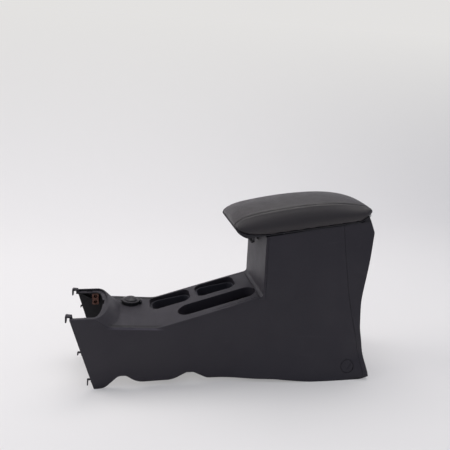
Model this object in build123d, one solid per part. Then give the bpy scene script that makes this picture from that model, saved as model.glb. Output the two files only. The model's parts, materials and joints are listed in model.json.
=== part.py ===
"""Car center console with a handbrake slot, two cup pockets, a power outlet and an armrest bin.

Millimetres. X runs from the front of the car to the rear, Y across the car and Z up. The driver's
side of the handbrake slot is at -Y. The model is drawn with x = 0 at the front foot and the floor
at z = 0, and each piece is moved at the end so that the origin is at the middle of the footprint.
"""
import os
from math import cos, exp, pi, radians, sin, tan
from build123d import *

os.makedirs("parts", exist_ok=True)

# Moulded body: walls and the line of the top seen from the side.
WALL = 2.8
SEAM_GAP = 0.6
FIT_GAP = 0.3
DECK_BEND_X = 128.7
DECK_BEND_Z = 142.0
DECK_BEND_RADIUS = 60.0
FLAT_FALL = radians(4.1)
RAMP_RISE = radians(15.6)
BOX_FACE_X = 361.0
BOX_TOP_Z = 343.3
BOX_TOP_RISE = radians(7.6)
BOX_TOP_LENGTH = 245.0
REAR_BULGE = (615.0, 349.0)
REAR_WAIST_TOP = (597.0, 185.0)
REAR_WAIST_FOOT = (598.0, 120.0)
REAR_FOOT_X = 622.0
FRONT_LEAN = radians(14.8)
FRONT_FOOT_X = -9.0
FORM_FRONT_X = -90.0
FORM_DEPTH = -30.0
FORM_HALF = 140.0

# Half width of the body, and how it flares out towards the rear foot.
FOOT_HALF = 79.5
DECK_HALF = 86.0
DECK_HALF_Z = 210.0
BOX_NARROWING = 0.033
BOX_NARROWING_Z = 150.0
BOX_BLEND = (215.0, 430.0)
FLARE_REACH = 35.0
FLARE_START = 262.0
FLARE_LEAN = 0.9
FLARE_FADE_Z = 215.0
FLARE_RUN = 100.0
FLARE_SOFTNESS = 25.0
SIDE_STATIONS = (-95, -20, 60, 140, 200, 245, 275, 305, 340, 380, 430, 490, 560, 660)
SIDE_HEIGHTS = (-40, 0, 30, 65, 100, 140, 180, 230, 300, 410)

# Raised collar round the shifter opening, open to the front.
COLLAR_TOP_Z = 170.5
COLLAR_CENTRE_X = -6.0
COLLAR_REACH = 31.0
COLLAR_HALF = 84.0
COLLAR_FLARE = ((-34.0, 46.0), (-25.0, 28.0), (-18.0, 18.0), (-9.0, 9.0), (-3.0, 3.2), (0.0, 0.0))
CREST_WIDTH = 4.0
LEDGE_DROP = 4.0
LEDGE_WIDTH = 11.0
LEDGE_SLOTS = ((-4.0, 62.0, 6.0, 15.0, 62.0), (7.0, 11.0, 12.0, 22.0, 0.0),
               (-4.0, -38.0, 5.0, 19.0, -50.0), (-24.0, 76.0, 14.0, 4.0, 0.0))

# Cup pockets, on the far side of the ramp. Places run along the ramp from the bend.
CUP_LENGTH = 98.0
CUP_WIDTH = 68.0
CUP_CORNER = 20.0
CUP_Y = 45.5
CUP_PLACES = (38.0, 150.5)
CUP_RECESS = 10.5
CUP_TILT = radians(5.0)
CUP_RIM = 4.0
CUP_DEPTH = 58.0
CUP_DRAFT = 2.5
CUP_WALL = 2.0
CUP_LUG = 8.5
SKIRT_WALL = 2.0

# Handbrake slot, on the near side of the ramp.
BRAKE_LENGTH = 184.0
BRAKE_WIDTH = 52.0
BRAKE_PLACE = (142.0, -36.0)
BRAKE_SKIRT_DEEP = 50.0
BRAKE_SKIRT_SHALLOW = 22.0
BRAKE_SKIRT_STEP = 164.0
DECK_GROOVE_Y = 77.0
DECK_RIBS = (48.0, 104.0)
DECK_RIB_DEPTH = 14.0

# Power outlet with a hinged cap, on the flat of the deck.
OUTLET_X = 72.0
OUTLET_Y = 47.0
SOCKET_BORE = 10.6
SOCKET_WALL = 0.8
SOCKET_LENGTH = 40.0
SOCKET_FLOOR = 1.2
SOCKET_STEP = 3.2
SOCKET_STEP_WIDTH = 0.8
SLEEVE_WALL = 2.6
SLEEVE_LENGTH = 34.0
BEZEL_RADIUS = 20.6
BEZEL_HEIGHT = 6.5
BEZEL_GROOVES = 30
CAP_RADIUS = 20.4
CAP_THICKNESS = 2.0
CAP_DOME_RADIUS = 15.5
CAP_DOME_RISE = 2.6
CAP_TAB_WIDTH = 9.0
CAP_REACH = 23.5
CAP_PIN_RADIUS = 1.0
CAP_KNUCKLE_RADIUS = 2.5
CAP_HINGE_Z = 7.8
RETAINER_HEIGHT = 6.0
SLEEVE_INNER = SOCKET_BORE + SOCKET_WALL + 0.1
SOCKET_BOTTOM = BEZEL_HEIGHT - 3.6 - SOCKET_LENGTH
SLEEVE_OUTER = SLEEVE_INNER + SLEEVE_WALL
CONTACT_RADIUS = 2.5

# Storage bin and the rim it hangs on. Rim places are (along the rim, above the rim).
BIN_START = 12.0
BIN_END = 196.0
BIN_HALF = 70.0
BIN_CORNER = 14.0
BIN_WALL = 2.4
BIN_FLOOR_Z = 190.0
BIN_DRAFT = 1.0
BIN_FLANGE = 1.6
FLANGE_REACH = 6.0
FLANGE_START = 8.5
FLANGE_HALF = 78.0
BIN_SCREW_Y = 74.3
BIN_SCREWS_FRONT = (40.0,)
BIN_SCREWS_REAR = (213.0,)
SHELF_END = 235.0
SHELF_DROP = 3.0
FLOOR_HOLE_RADIUS = 3.5
FLOOR_HOLE_SPAN_X = 110.0
FLOOR_HOLE_SPAN_Y = 80.0

# Armrest lid. Its underside is parallel to the rim.
LID_GAP = 3.0
LID_PLATE = 2.5
LID_FRAME_PLATE = 3.0
LID_FRAME_WALL = 2.5
LID_BULGE = 3.0
LID_FRAME_SPAN = (-34.0, 212.0, 76.0)
LID_SHELL_FRONT = 324.0
LID_SCREWS_ALONG = (10.0, 165.0)
LID_SCREW_Y = 58.0
LID_HALF = 84.5
# Side view of the lid, as distances along X and lifts above the flat of its underside.
LID_PROFILE = ((318, 0.0), (291, 17.5), (282.5, 28.0), (283.5, 37.0), (290, 47.0), (300, 130), (617, 130),
               (617, 19.0), (612, 12.6), (594, 9.4), (574, 0.0))
LID_PROFILE_RADII = (14, 20, 6, 6, 0, 0, 0, 3, 4, 10, 4)
# Distance along X, lift of the crown and its drop to the crease at each side.
LID_CROWN = (
    (262, 22.0, 7.0),
    (284, 39.0, 7.0),
    (306, 49.5, 7.0),
    (328, 55.0, 7.0),
    (350, 57.4, 7.0),
    (375, 59.1, 7.0),
    (410, 60.4, 7.0),
    (445, 60.5, 7.0),
    (480, 59.0, 7.0),
    (516, 55.8, 6.8),
    (552, 49.4, 6.4),
    (576, 42.5, 5.6),
    (596, 34.0, 4.4),
    (612, 22.5, 3.6),
    (628, 3.0, 3.0),
)
LID_CREASES = ((262, 34.0), (323, 47.0), (384, 52.2), (445, 53.5), (506, 50.2), (567, 39.5), (628, 34.0))
LID_STEPS_ACROSS = (-96, -72, -48, -24, 0, 24, 48, 72, 96)
LID_FLANK_STEPS = (-1.6, -1.0, -0.55, 0.0, 0.25, 0.5, 0.75, 1.0, 1.35)
LID_BELLY_UP = 17.0
LID_CREASE_HALF = 66.0
LID_CORNER_FRONT = 24.0
LID_CORNER_REAR = 42.0
LID_SPLIT = ((270, 38), (284, 27), (300, 18), (317, 10.5), (345, 5), (365, LID_PLATE), (574, LID_PLATE),
             (584, 8.0), (594, 12.4), (604, 14.4), (625, 17))
HINGE_PLACE = (246.9, 9.2)
KNUCKLE_RADIUS = 5.0
HINGE_PIN_RADIUS = 2.0
HINGE_HALF = 60.0
LEAF = 2.0
KNUCKLES_FIXED = ((-60.0, -41.0), (-9.5, 9.5), (41.0, 60.0))
KNUCKLES_LID = ((-40.7, -9.8), (9.8, 40.7))
KNUCKLE_GAPS = ((-41.0, -9.5), (9.5, 41.0))
RUNNING_GAP = 0.06
HINGE_SCREW_ALONG = 208.0
HINGE_SCREW_ROW = (-48.0, -18.0, 18.0, 48.0)
LID_LEAF_START = 190.0
LID_HINGE_SCREW_ALONG = 203.0
LID_HINGE_SCREW_ROW = (-40.0, -14.0, 14.0, 40.0)
COVER_HALF = 80.0
LATCH_PIVOT = (-13.0, 8.6)
LATCH_HALF = 18.0
LATCH_DROP = 39.0
LATCH_PIN_RADIUS = 1.5
TONGUE_Z = 328.0
TONGUE_HALF = 12.0
TONGUE_END_X = 366.3
NOTCH_HALF = 15.0
NOTCH_FLOOR_Z = 317.0
LATCH_HUB_RADIUS = 3.4
LATCH_SPRING_ROOM = 10.0
SPRING_WIRE = 0.5
STRIKER_X = 369.2
STRIKER_SCREWS = ((306.0, -6.0), (306.0, 6.0))
PANEL_HOOKS = (235.0, 305.0)
LAP = 12.0
LAP_DEPTH = 2.3
LAP_TOP_Z = 345.0
BUMPER_ALONG = 22.0
BUMPER_Y = 72.0
BUMPER_STEM = 2.0

# Fasteners.
SCREW_SHANK = 1.9
SCREW_HEAD = 3.6
SCREW_HEAD_HEIGHT = 1.5
SCREW_CLEARANCE = 0.2
BOSS_WALL = 2.0

# Side screw wells with their covers.
WELL_X = 570.0
WELL_Z = 32.0
COVER_RADIUS = 15.4
COVER_THICKNESS = 2.4
WELL_RADIUS = 12.0
WELL_DEPTH = 13.0
SIDE_HOLE_RADIUS = 3.3

# Connector clipped to the far wall below the collar.
CONNECTOR_SIZE = (15.0, 10.0, 28.0)
CONNECTOR_PLACE = (-10.5, 148.0)

FRONT_REACH_X = -63.74
REAR_REACH_X = 620.35
ORIGIN = Pos(-(FRONT_REACH_X + REAR_REACH_X) / 2, 0, 0)


def side_polygon(points):
    """A face in the XZ plane."""
    return Face(Wire.make_polygon([Vector(x, 0, z) for x, z in points], close=True))


def side_outline(points, radii):
    """A face in the XZ plane with a radius at each corner."""
    return make_face(Plane.XZ * FilletPolyline(*points, radius=radii, close=True)).face()


def across(face, low, high):
    """An XZ face carried across the car from one y to another."""
    return Solid.extrude(face.moved(Pos(0, low, 0)), Vector(0, high - low, 0))


def flat_z(x):
    """Height of the flat part of the deck."""
    return DECK_BEND_Z + (DECK_BEND_X - x) * tan(FLAT_FALL)


def ramp_z(x):
    """Height of the sloping part of the deck."""
    return DECK_BEND_Z + (x - DECK_BEND_X) * tan(RAMP_RISE)


def rim_point(along, above):
    """XZ place of a point given along and above the box's rim."""
    x = BOX_FACE_X + along * cos(BOX_TOP_RISE) - above * sin(BOX_TOP_RISE)
    z = BOX_TOP_Z + along * sin(BOX_TOP_RISE) + above * cos(BOX_TOP_RISE)
    return x, z


def rim_bar(points, low, high):
    """A bar across the car whose section is given along and above the rim."""
    return across(side_polygon([rim_point(*point) for point in points]), low, high)


def rim_slab(start, end, bottom, top, low, high):
    """A box whose length lies along the rim."""
    return rim_bar([(start, bottom), (end, bottom), (end, top), (start, top)], low, high)


def rim_plane(along, y, above):
    """A plane parallel to the rim."""
    x, z = rim_point(along, above)
    return Plane(origin=(x, y, z), x_dir=(cos(BOX_TOP_RISE), 0, sin(BOX_TOP_RISE)),
                 z_dir=(-sin(BOX_TOP_RISE), 0, cos(BOX_TOP_RISE)))


def ramp_plane(along, y, above, tilt=0.0):
    """A plane on the sloping deck, with a place along it from the bend."""
    x = DECK_BEND_X + along * cos(RAMP_RISE) - above * sin(RAMP_RISE)
    z = DECK_BEND_Z + along * sin(RAMP_RISE) + above * cos(RAMP_RISE)
    slope = RAMP_RISE - tilt
    return Plane(origin=(x, y, z), x_dir=(cos(slope), 0, sin(slope)), z_dir=(-sin(slope), 0, cos(slope)))


def outlet_plane(above):
    """A plane across the power outlet, parallel to the flat of the deck."""
    normal = (sin(FLAT_FALL), 0, cos(FLAT_FALL))
    x = OUTLET_X + above * normal[0]
    z = flat_z(OUTLET_X) + above * normal[2]
    return Plane(origin=(x, OUTLET_Y, z), x_dir=(cos(FLAT_FALL), 0, -sin(FLAT_FALL)), z_dir=normal)


def raised(plane, sketch, height, taper=0.0):
    """A sketch on a plane, carried along the plane's normal."""
    return extrude(plane * sketch, amount=height, taper=taper)


def half_width(x, z):
    """Half the body's width at a place on its side."""
    up = min(max(z, -40) / DECK_HALF_Z, 1)
    width = FOOT_HALF + (DECK_HALF - FOOT_HALF) * sin(up * pi / 2)
    back = min(max((x - BOX_BLEND[0]) / (BOX_BLEND[1] - BOX_BLEND[0]), 0), 1)
    width -= BOX_NARROWING * back * back * (3 - 2 * back) * max(z - BOX_NARROWING_Z, 0)
    run = max(x - FLARE_START - FLARE_LEAN * max(z, 0), 0)
    grown = 1 - exp(-run * run / (run + FLARE_SOFTNESS) / FLARE_RUN)
    return width + FLARE_REACH * grown * max(1 - z / FLARE_FADE_Z, 0) ** 2


def outside_block(inset):
    """All that lies beyond the far side's surface, or beyond that surface moved in by a wall."""
    grid = [[Vector(x, half_width(x, z) - inset, z) for z in SIDE_HEIGHTS] for x in SIDE_STATIONS]
    surface = Face.make_surface_from_array_of_points(grid, tol=0.05)
    return Solid.extrude(surface, Vector(0, 100, 0))


def top_profile(inset):
    """The body's outline seen from the side, closed below the floor, moved in by a wall."""
    points = [
        (FORM_FRONT_X, FORM_DEPTH),
        (FORM_FRONT_X, flat_z(FORM_FRONT_X)),
        (DECK_BEND_X, DECK_BEND_Z),
        (BOX_FACE_X, ramp_z(BOX_FACE_X)),
        (BOX_FACE_X, BOX_TOP_Z),
        rim_point(BOX_TOP_LENGTH, 0),
        REAR_BULGE,
        REAR_WAIST_TOP,
        REAR_WAIST_FOOT,
        (REAR_FOOT_X, 0),
        (REAR_FOOT_X, FORM_DEPTH),
    ]
    radii = [0, 0, DECK_BEND_RADIUS, 8.0, 4.0, 6.0, 14.0, 200.0, 120.0, 0, 0]
    face = side_outline(points, radii)
    if inset:
        face = offset(face, amount=-inset, kind=Kind.INTERSECTION).face()
    return across(face, -FORM_HALF, FORM_HALF)


def collar_outline(grow, z):
    """Half an ellipse across the console, run straight forward past the front edge."""
    half = COLLAR_HALF + grow
    arc = EllipticalCenterArc((COLLAR_CENTRE_X, 0), COLLAR_REACH + grow, half, start_angle=-90, arc_size=180)
    rest = Polyline((COLLAR_CENTRE_X, half), (FORM_FRONT_X, half), (FORM_FRONT_X, -half), (COLLAR_CENTRE_X, -half))
    return Pos(0, 0, z) * make_face([arc, rest])


def collar_block(inset):
    """The raised collar, blended down into the deck by a loft."""
    top = COLLAR_TOP_Z - inset
    sections = [collar_outline(grow - inset, top + drop) for drop, grow in COLLAR_FLARE]
    return loft(sections)


def body_form(inset):
    """The whole outer form of the body, or the same form moved in by a wall."""
    outside = outside_block(inset)
    return (top_profile(inset) + collar_block(inset)).cut(outside, outside.mirror(Plane.XZ))


def kept_outline():
    """What the moulding keeps of its form: the leaning front edge and the scalloped lower edge."""
    top_z = 400.0
    front_top_x = FRONT_FOOT_X - top_z * tan(FRONT_LEAN)
    points = [
        (FRONT_FOOT_X, 0), (13, 0), (44, 29), (61, 29), (84, 11.5), (163, 11.5), (194, 28), (210, 28),
        (241, 10.5), (390, 8), (478, 0), (603, 0), (624, 10), (640, 60), (640, top_z), (front_top_x, top_z),
    ]
    radii = [3, 25, 14, 14, 45, 50, 16, 16, 30, 300, 200, 20, 0, 0, 0, 0]
    return across(side_outline(points, radii), -FORM_HALF, FORM_HALF)


def rear_seam(shift):
    """Everything behind the seam between the side panels and the rear cover."""
    seam = Spline((536 + shift, 400), (543 + shift, 330), (551 + shift, 280), (569 + shift, 183),
                  (598 + shift, 58), (613 + shift, -40))
    rest = Polyline((613 + shift, -40), (720, -40), (720, 400), (536 + shift, 400))
    return across(make_face([Plane.XZ * seam, Plane.XZ * rest]).face(), -FORM_HALF, FORM_HALF)


def front_panel_zone(gap):
    """The part of the form that is the box's front panel, with its foot on the deck."""
    foot_x = BOX_FACE_X - 7.0 - gap
    side_x = BOX_FACE_X + 5.0 + gap
    deck = ramp_z(foot_x)
    points = [(foot_x, deck - 6), (foot_x, deck + 20), (BOX_FACE_X - 12, deck + 30), (BOX_FACE_X - 12, 420),
              (side_x, 420), (side_x, deck - 6 + (side_x - foot_x) * tan(RAMP_RISE))]
    return across(side_polygon(points), -FORM_HALF, FORM_HALF)


def solids(*shapes):
    """All the solids of some shapes, as a list."""
    return [solid for shape in shapes if shape is not None for solid in shape.solids()]


def pan_screw(length):
    """A pan-head screw that points down from its seat at the origin."""
    head = Cylinder(SCREW_HEAD, SCREW_HEAD_HEIGHT, align=(Align.CENTER, Align.CENTER, Align.MIN))
    head = fillet(head.edges().group_by(Axis.Z)[-1], SCREW_HEAD_HEIGHT * 0.5)
    shank = Cylinder(SCREW_SHANK, length, align=(Align.CENTER, Align.CENTER, Align.MAX))
    slot = Box(SCREW_HEAD * 1.1, 0.8, 1.2) + Box(0.8, SCREW_HEAD * 1.1, 1.2)
    return head + shank - Pos(0, 0, SCREW_HEAD_HEIGHT) * slot


def flush_screw(length):
    """A countersunk screw, its flat head level with the origin."""
    head = Cone(SCREW_SHANK, SCREW_HEAD, BIN_FLANGE, align=(Align.CENTER, Align.CENTER, Align.MAX))
    shank = Cylinder(SCREW_SHANK, length, align=(Align.CENTER, Align.CENTER, Align.MAX))
    slot = Box(SCREW_HEAD * 1.1, 0.8, 1.2) + Box(0.8, SCREW_HEAD * 1.1, 1.2)
    return head + shank - slot


def countersink(plane):
    """A cut for a flush screw's head, level with a plane."""
    sink = Cone(SCREW_SHANK, SCREW_HEAD, BIN_FLANGE, align=(Align.CENTER, Align.CENTER, Align.MAX))
    return placed(sink, plane).fuse(drilled(plane, SCREW_SHANK + SCREW_CLEARANCE, 6))


def placed(shape, plane):
    """A shape drawn at the origin, moved onto a plane."""
    return plane.location * shape


def drilled(plane, radius, depth):
    """A hole to cut, run both ways from a plane."""
    return extrude(plane * Circle(radius), amount=depth, both=True)


def tube(plane, outer, inner, height):
    """A round wall standing on a plane."""
    return extrude(plane * (Circle(outer) - Circle(inner)), amount=height)


def rod(place, radius, low, high):
    """A round bar across the car at an XZ place."""
    x, z = place
    return Plane.XZ.offset(-high) * Pos(x, z) * Cylinder(radius, high - low, align=(Align.CENTER, Align.CENTER, Align.MIN))


def front_edge_x(z):
    """Where the leaning front edge is at a height."""
    return FRONT_FOOT_X - z * tan(FRONT_LEAN)


def hook(z, low, high, reach, drop, thick, root_drop):
    """A front locating tab: out from the edge, then down."""
    x = front_edge_x(z)
    points = [(x + 7, z - root_drop), (x + 5, z), (x - reach + 2, z + 1.5), (x - reach, z),
              (x - reach - 0.5, z - drop), (x - reach + thick - 0.5, z - drop),
              (x - reach + thick + 0.5, z - thick), (x + 1, z - thick), (x + 1, z - root_drop)]
    return across(side_polygon(points), low, high)


def cup_plane(index, above):
    """The tilted plane of a cup's rim, below the deck."""
    return ramp_plane(CUP_PLACES[index], CUP_Y, -CUP_RECESS, CUP_TILT).offset(above)


def cup_screw_planes(above):
    """Where the cup insert is screwed up into the deck."""
    planes = []
    for index, end in enumerate((-1, 1)):
        base = cup_plane(index, above)
        for x, y in ((end * (CUP_LENGTH / 2 + CUP_LUG), 0), (0, -(CUP_WIDTH / 2 + CUP_LUG))):
            planes.append(Plane(origin=base.from_local_coords((x, y, 0)), x_dir=base.x_dir, z_dir=base.z_dir))
    return planes


def cup_cuts():
    """The two cup openings with the walls that hang from them."""
    openings, skirts = [], []
    for index, place in enumerate(CUP_PLACES):
        plane = ramp_plane(place, CUP_Y, -CUP_RECESS * 3)
        hole = RectangleRounded(CUP_LENGTH, CUP_WIDTH, CUP_CORNER)
        wall = RectangleRounded(CUP_LENGTH + 2 * SKIRT_WALL, CUP_WIDTH + 2 * SKIRT_WALL, CUP_CORNER + SKIRT_WALL)
        openings.append(raised(plane, hole, CUP_RECESS * 6))
        below = raised(cup_plane(index, -60), Rectangle(220, 140), 60)
        web = Pos(0, CUP_WIDTH / 2 + 5) * Rectangle(CUP_LENGTH - 2 * CUP_CORNER, 10)
        skirts.append(raised(plane, wall + web, CUP_RECESS * 3) - below)
    return openings, skirts


def brake_cuts():
    """The handbrake slot and its skirt, deep at the front and shallow at the rear."""
    along, y = BRAKE_PLACE
    bottom = ramp_plane(along, y, -BRAKE_SKIRT_DEEP)
    opening = raised(bottom.offset(-1), SlotOverall(BRAKE_LENGTH, BRAKE_WIDTH), BRAKE_SKIRT_DEEP * 2)
    outline = SlotOverall(BRAKE_LENGTH + 2 * SKIRT_WALL, BRAKE_WIDTH + 2 * SKIRT_WALL)
    step = ramp_plane(BRAKE_SKIRT_STEP, y, -BRAKE_SKIRT_DEEP - 1)
    spare = raised(step, Pos(100, 0) * Rectangle(200, BRAKE_WIDTH * 2), BRAKE_SKIRT_DEEP - BRAKE_SKIRT_SHALLOW + 1)
    return opening, raised(bottom, outline, BRAKE_SKIRT_DEEP) - spare


def well_frame(side, outer):
    """The plane of a side screw cover: on the body's side, facing outwards."""
    hits = outer.find_intersection_points(Axis((WELL_X, 0, WELL_Z), (0, side, 0)))
    point, normal = max(hits, key=lambda hit: side * hit[0].Y)
    if normal.Y * side < 0:
        normal = normal * -1
    return Plane(origin=point, x_dir=Vector(0, 0, 1).cross(normal), z_dir=normal)


def bin_screw_planes(places, above):
    """Planes on the rim, both sides, at some places along it."""
    return [rim_plane(along, side * BIN_SCREW_Y, above) for along in places for side in (-1, 1)]


def rim_opening():
    """What is cut from the box's top for the bin and for the latch."""
    hole = rim_slab(BIN_START - 2.2, SHELF_END + 1.5, -12, 20, -BIN_HALF - 1.5, BIN_HALF + 1.5)
    notch = rim_slab(-12, BIN_START, -12, 20, -NOTCH_HALF, NOTCH_HALF)
    return solids(hole, notch)


def front_tabs():
    """Tabs on the front edges that hook into the dashboard's carrier."""
    tabs = []
    for side in (-1, 1):
        low, high = sorted((side * 68.0, side * 79.0))
        tabs.append(hook(175.0, low, high, 8.0, 14.0, 3.0, 11.0))
        for z, drop in ((94.0, 7.0), (26.0, 15.0)):
            wall = half_width(front_edge_x(z), z)
            low, high = sorted((side * (wall - WALL), side * (wall - 0.3)))
            tabs.append(hook(z, low, high, 7.0, drop, 2.6, 8.0))
    wall = half_width(front_edge_x(128), 128)
    tabs.append(hook(128.0, wall - WALL, wall - 0.3, 4.0, 5.0, 2.2, 6.0))
    return tabs


def collar_braces():
    """A slanting rib under each side of the collar, with five small gussets on it."""
    braces = []
    for side in (-1, 1):
        low, high = sorted((side * 76.0, side * 84.0))
        braces.append(across(side_polygon([(-47, 164), (-47, 161), (-20, 144.8), (-20, 147.8)]), low, high))
        for step in range(5):
            x = -44.0 + step * 5.0
            z = 160.5 - (x + 47) * 0.6
            low, high = sorted((side * 79.0, side * 84.0))
            gusset = [(x, z), (x + 1.6, z - 1), (x + 1.6, z + 7), (x, z + 8)]
            braces.append(across(side_polygon(gusset), low, high))
    return braces


def build_body(outer, inner):
    """The main moulding: deck, sides, collar, skirts, ribs, bosses, wells and front tabs."""
    openings, skirts = cup_cuts()
    brake_opening, brake_skirt = brake_cuts()
    within = [*skirts, brake_skirt, *collar_braces()]
    for plane in cup_screw_planes(0):
        within.append(raised(plane, Circle(SCREW_SHANK + BOSS_WALL), 30))
    for plane in bin_screw_planes(BIN_SCREWS_FRONT, -12):
        within.append(raised(plane, Circle(SCREW_SHANK + BOSS_WALL), 10))
    for x in DECK_RIBS:
        low = flat_z(x) - DECK_RIB_DEPTH
        within.append(across(side_polygon([(x, low), (x + 2, low), (x + 2, 200), (x, 200)]), -FORM_HALF, FORM_HALF))
    wells = [well_frame(side, outer) for side in (-1, 1)]
    for plane in wells:
        depth = WELL_DEPTH + 2.0
        within.append(raised(plane.offset(-depth), Circle(COVER_RADIUS + 2.2), depth - WALL / 2))
    added = solids(*[piece & inner for piece in solids(*within)])

    crest_z = COLLAR_TOP_Z - LEDGE_DROP - WALL
    crest = Pos(0, 0, crest_z) * extrude(collar_outline(0, 0), amount=LEDGE_DROP + WALL)
    added += solids(crest & outer & kept_outline())

    removed = [Pos(0, 0, COLLAR_TOP_Z - LEDGE_DROP) * extrude(collar_outline(-CREST_WIDTH, 0), amount=40)]
    removed.append(Pos(0, 0, COLLAR_TOP_Z - 20) * extrude(collar_outline(-CREST_WIDTH - LEDGE_WIDTH, 0), amount=40))
    for x, y, length, width, turn in LEDGE_SLOTS:
        removed.append(Pos(x, y, COLLAR_TOP_Z) * Rot(0, 0, turn) * Box(length, width, 20))
    removed += [*openings, brake_opening]
    removed.append(drilled(outlet_plane(0), SLEEVE_OUTER + 0.2, 12))
    for plane in cup_screw_planes(0):
        removed.append(drilled(plane, SCREW_SHANK + 0.05, 7.5))
    for plane in bin_screw_planes(BIN_SCREWS_FRONT, 0):
        removed.append(drilled(plane, SCREW_SHANK + 0.05, 11))
    for y in (-DECK_GROOVE_Y, DECK_GROOVE_Y):
        removed.append(raised(ramp_plane(182, y, -0.8), Rectangle(116, 1.0), 6))
    for plane in wells:
        removed.append(raised(plane.offset(-COVER_THICKNESS - 0.4), Circle(COVER_RADIUS + FIT_GAP), 20))
        removed.append(raised(plane.offset(-WELL_DEPTH), Circle(WELL_RADIUS), 20))
        removed.append(drilled(plane, SIDE_HOLE_RADIUS, 40))
    removed += [*rim_opening(), front_panel_zone(SEAM_GAP), rear_seam(0)]

    kept_form = (outer - inner) & kept_outline()
    return kept_form.fuse(*added).cut(*solids(*removed)).fuse(*solids(*front_tabs()))


def build_front_panel(outer, inner):
    """The panel across the front of the box, with the latch's notch and its snap hooks."""
    panel = (outer - inner) & front_panel_zone(0)
    latch_notch = across(side_polygon([(340, NOTCH_FLOOR_Z), (380, NOTCH_FLOOR_Z), (380, 420), (340, 420)]),
                         -NOTCH_HALF, NOTCH_HALF)
    hooks = []
    for z in PANEL_HOOKS:
        wall = half_width(BOX_FACE_X + 17, z + 8) - WALL - FIT_GAP
        for side in (-1, 1):
            low, high = sorted((side * (wall - 1.8), side * wall))
            hooks.append(across(side_polygon([(362, z), (378, z + 2), (378, z + 6), (362, z + 8)]), low, high))
    return panel.fuse(*hooks).cut(*solids(latch_notch, *rim_opening()))


def build_rear_cover(outer, inner):
    """The cover round the back of the box, with lap flanges inside the side panels."""
    cover = (outer - inner) & rear_seam(SEAM_GAP) & kept_outline()
    laps = []
    length = across(side_polygon([(500, 30), (640, 30), (640, LAP_TOP_Z), (500, LAP_TOP_Z)]), 60, 130)
    for front, back, skin in ((-LAP, 4, FIT_GAP), (1.5, 5, -0.6)):
        band = (rear_seam(front) - rear_seam(back)) & length
        lap = (band & outside_block(WALL + LAP_DEPTH)) - outside_block(WALL + skin)
        laps += solids(lap, lap.mirror(Plane.XZ))
    bosses, holes = [], []
    for plane in bin_screw_planes(BIN_SCREWS_REAR, -12):
        bosses.append(raised(plane, Circle(SCREW_SHANK + BOSS_WALL), 10) & inner)
    for plane in bin_screw_planes(BIN_SCREWS_REAR, 0):
        holes.append(drilled(plane, SCREW_SHANK + 0.05, 11))
    return cover.fuse(*laps, *solids(*bosses)).cut(*rim_opening(), *solids(*holes))


def bin_prism(inset):
    """The bin's tapered well, or its inside, from its floor up past the rim."""
    height = 210.0
    length = rim_point(BIN_END, 0)[0] - rim_point(BIN_START, 0)[0]
    middle = (rim_point(BIN_END, 0)[0] + rim_point(BIN_START, 0)[0]) / 2
    shrink = 2 * (BOX_TOP_Z - BIN_FLOOR_Z) * tan(radians(BIN_DRAFT)) + 2 * inset
    plan = RectangleRounded(length - shrink, 2 * BIN_HALF - shrink, BIN_CORNER - inset)
    return Pos(middle, 0, BIN_FLOOR_Z + inset) * extrude(plan, amount=height, taper=-BIN_DRAFT)


def build_bin():
    """The storage bin: a tapered well, a hinge shelf behind it and a flange on the rim."""
    over = rim_slab(-60, 300, BIN_FLANGE, 120, -120, 120)
    well = bin_prism(0) - over
    shelf = rim_slab(BIN_END - 4, SHELF_END, -SHELF_DROP - BIN_WALL, BIN_FLANGE, -BIN_HALF, BIN_HALF)
    flange_length = SHELF_END + FLANGE_REACH - FLANGE_START
    flange = raised(rim_plane((SHELF_END + FLANGE_REACH + FLANGE_START) / 2, 0, 0),
                    RectangleRounded(flange_length, 2 * FLANGE_HALF, 8), BIN_FLANGE)
    pad = across(side_polygon([(STRIKER_X + 1.5, 296), (376, 296), (376, 338), (STRIKER_X + 1.5, 338)]), -16, 16)
    whole = well.fuse(*solids(shelf, flange, pad))

    inside = bin_prism(BIN_WALL)
    shelf_inside = rim_slab(BIN_END - 10, SHELF_END - BIN_WALL, -SHELF_DROP, 40, -BIN_HALF + BIN_WALL, BIN_HALF - BIN_WALL)
    leaf_way = rim_slab(SHELF_END - 8, SHELF_END + 0.2, 0.2, 40, -HINGE_HALF - 2, HINGE_HALF + 2)
    holes = []
    for plane in bin_screw_planes(BIN_SCREWS_FRONT + BIN_SCREWS_REAR, BIN_FLANGE):
        holes.append(countersink(plane))
    for plane in hinge_screw_planes(-SHELF_DROP):
        holes.append(drilled(plane, SCREW_SHANK + 0.05, 9))
    for place in floor_hole_places():
        holes.append(Pos(*place) * Cylinder(FLOOR_HOLE_RADIUS, 12))
    for z, y in STRIKER_SCREWS:
        holes.append(drilled(striker_screw_plane(z, y), SCREW_SHANK + 0.05, 8))
    over_pad = rim_slab(-60, BIN_START + 4, -1.0, 60, -17, 17)
    return whole.cut(*solids(inside, shelf_inside, leaf_way, over_pad, *holes))


def floor_hole_places():
    """The four bolt holes in the bin's floor."""
    middle = (rim_point(BIN_END, 0)[0] + rim_point(BIN_START, 0)[0]) / 2
    return [(middle + i * FLOOR_HOLE_SPAN_X / 2, j * FLOOR_HOLE_SPAN_Y / 2, BIN_FLOOR_Z) for i in (-1, 1) for j in (-1, 1)]


def hinge_screw_planes(above):
    """Where the fixed hinge leaf is screwed to the bin's shelf."""
    return [rim_plane(HINGE_SCREW_ALONG, y, above) for y in HINGE_SCREW_ROW]


def striker_screw_plane(z, y):
    """A plane on the striker's front face, facing forward."""
    return Plane(origin=(STRIKER_X, y, z), x_dir=(0, 1, 0), z_dir=(-1, 0, 0))


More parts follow.
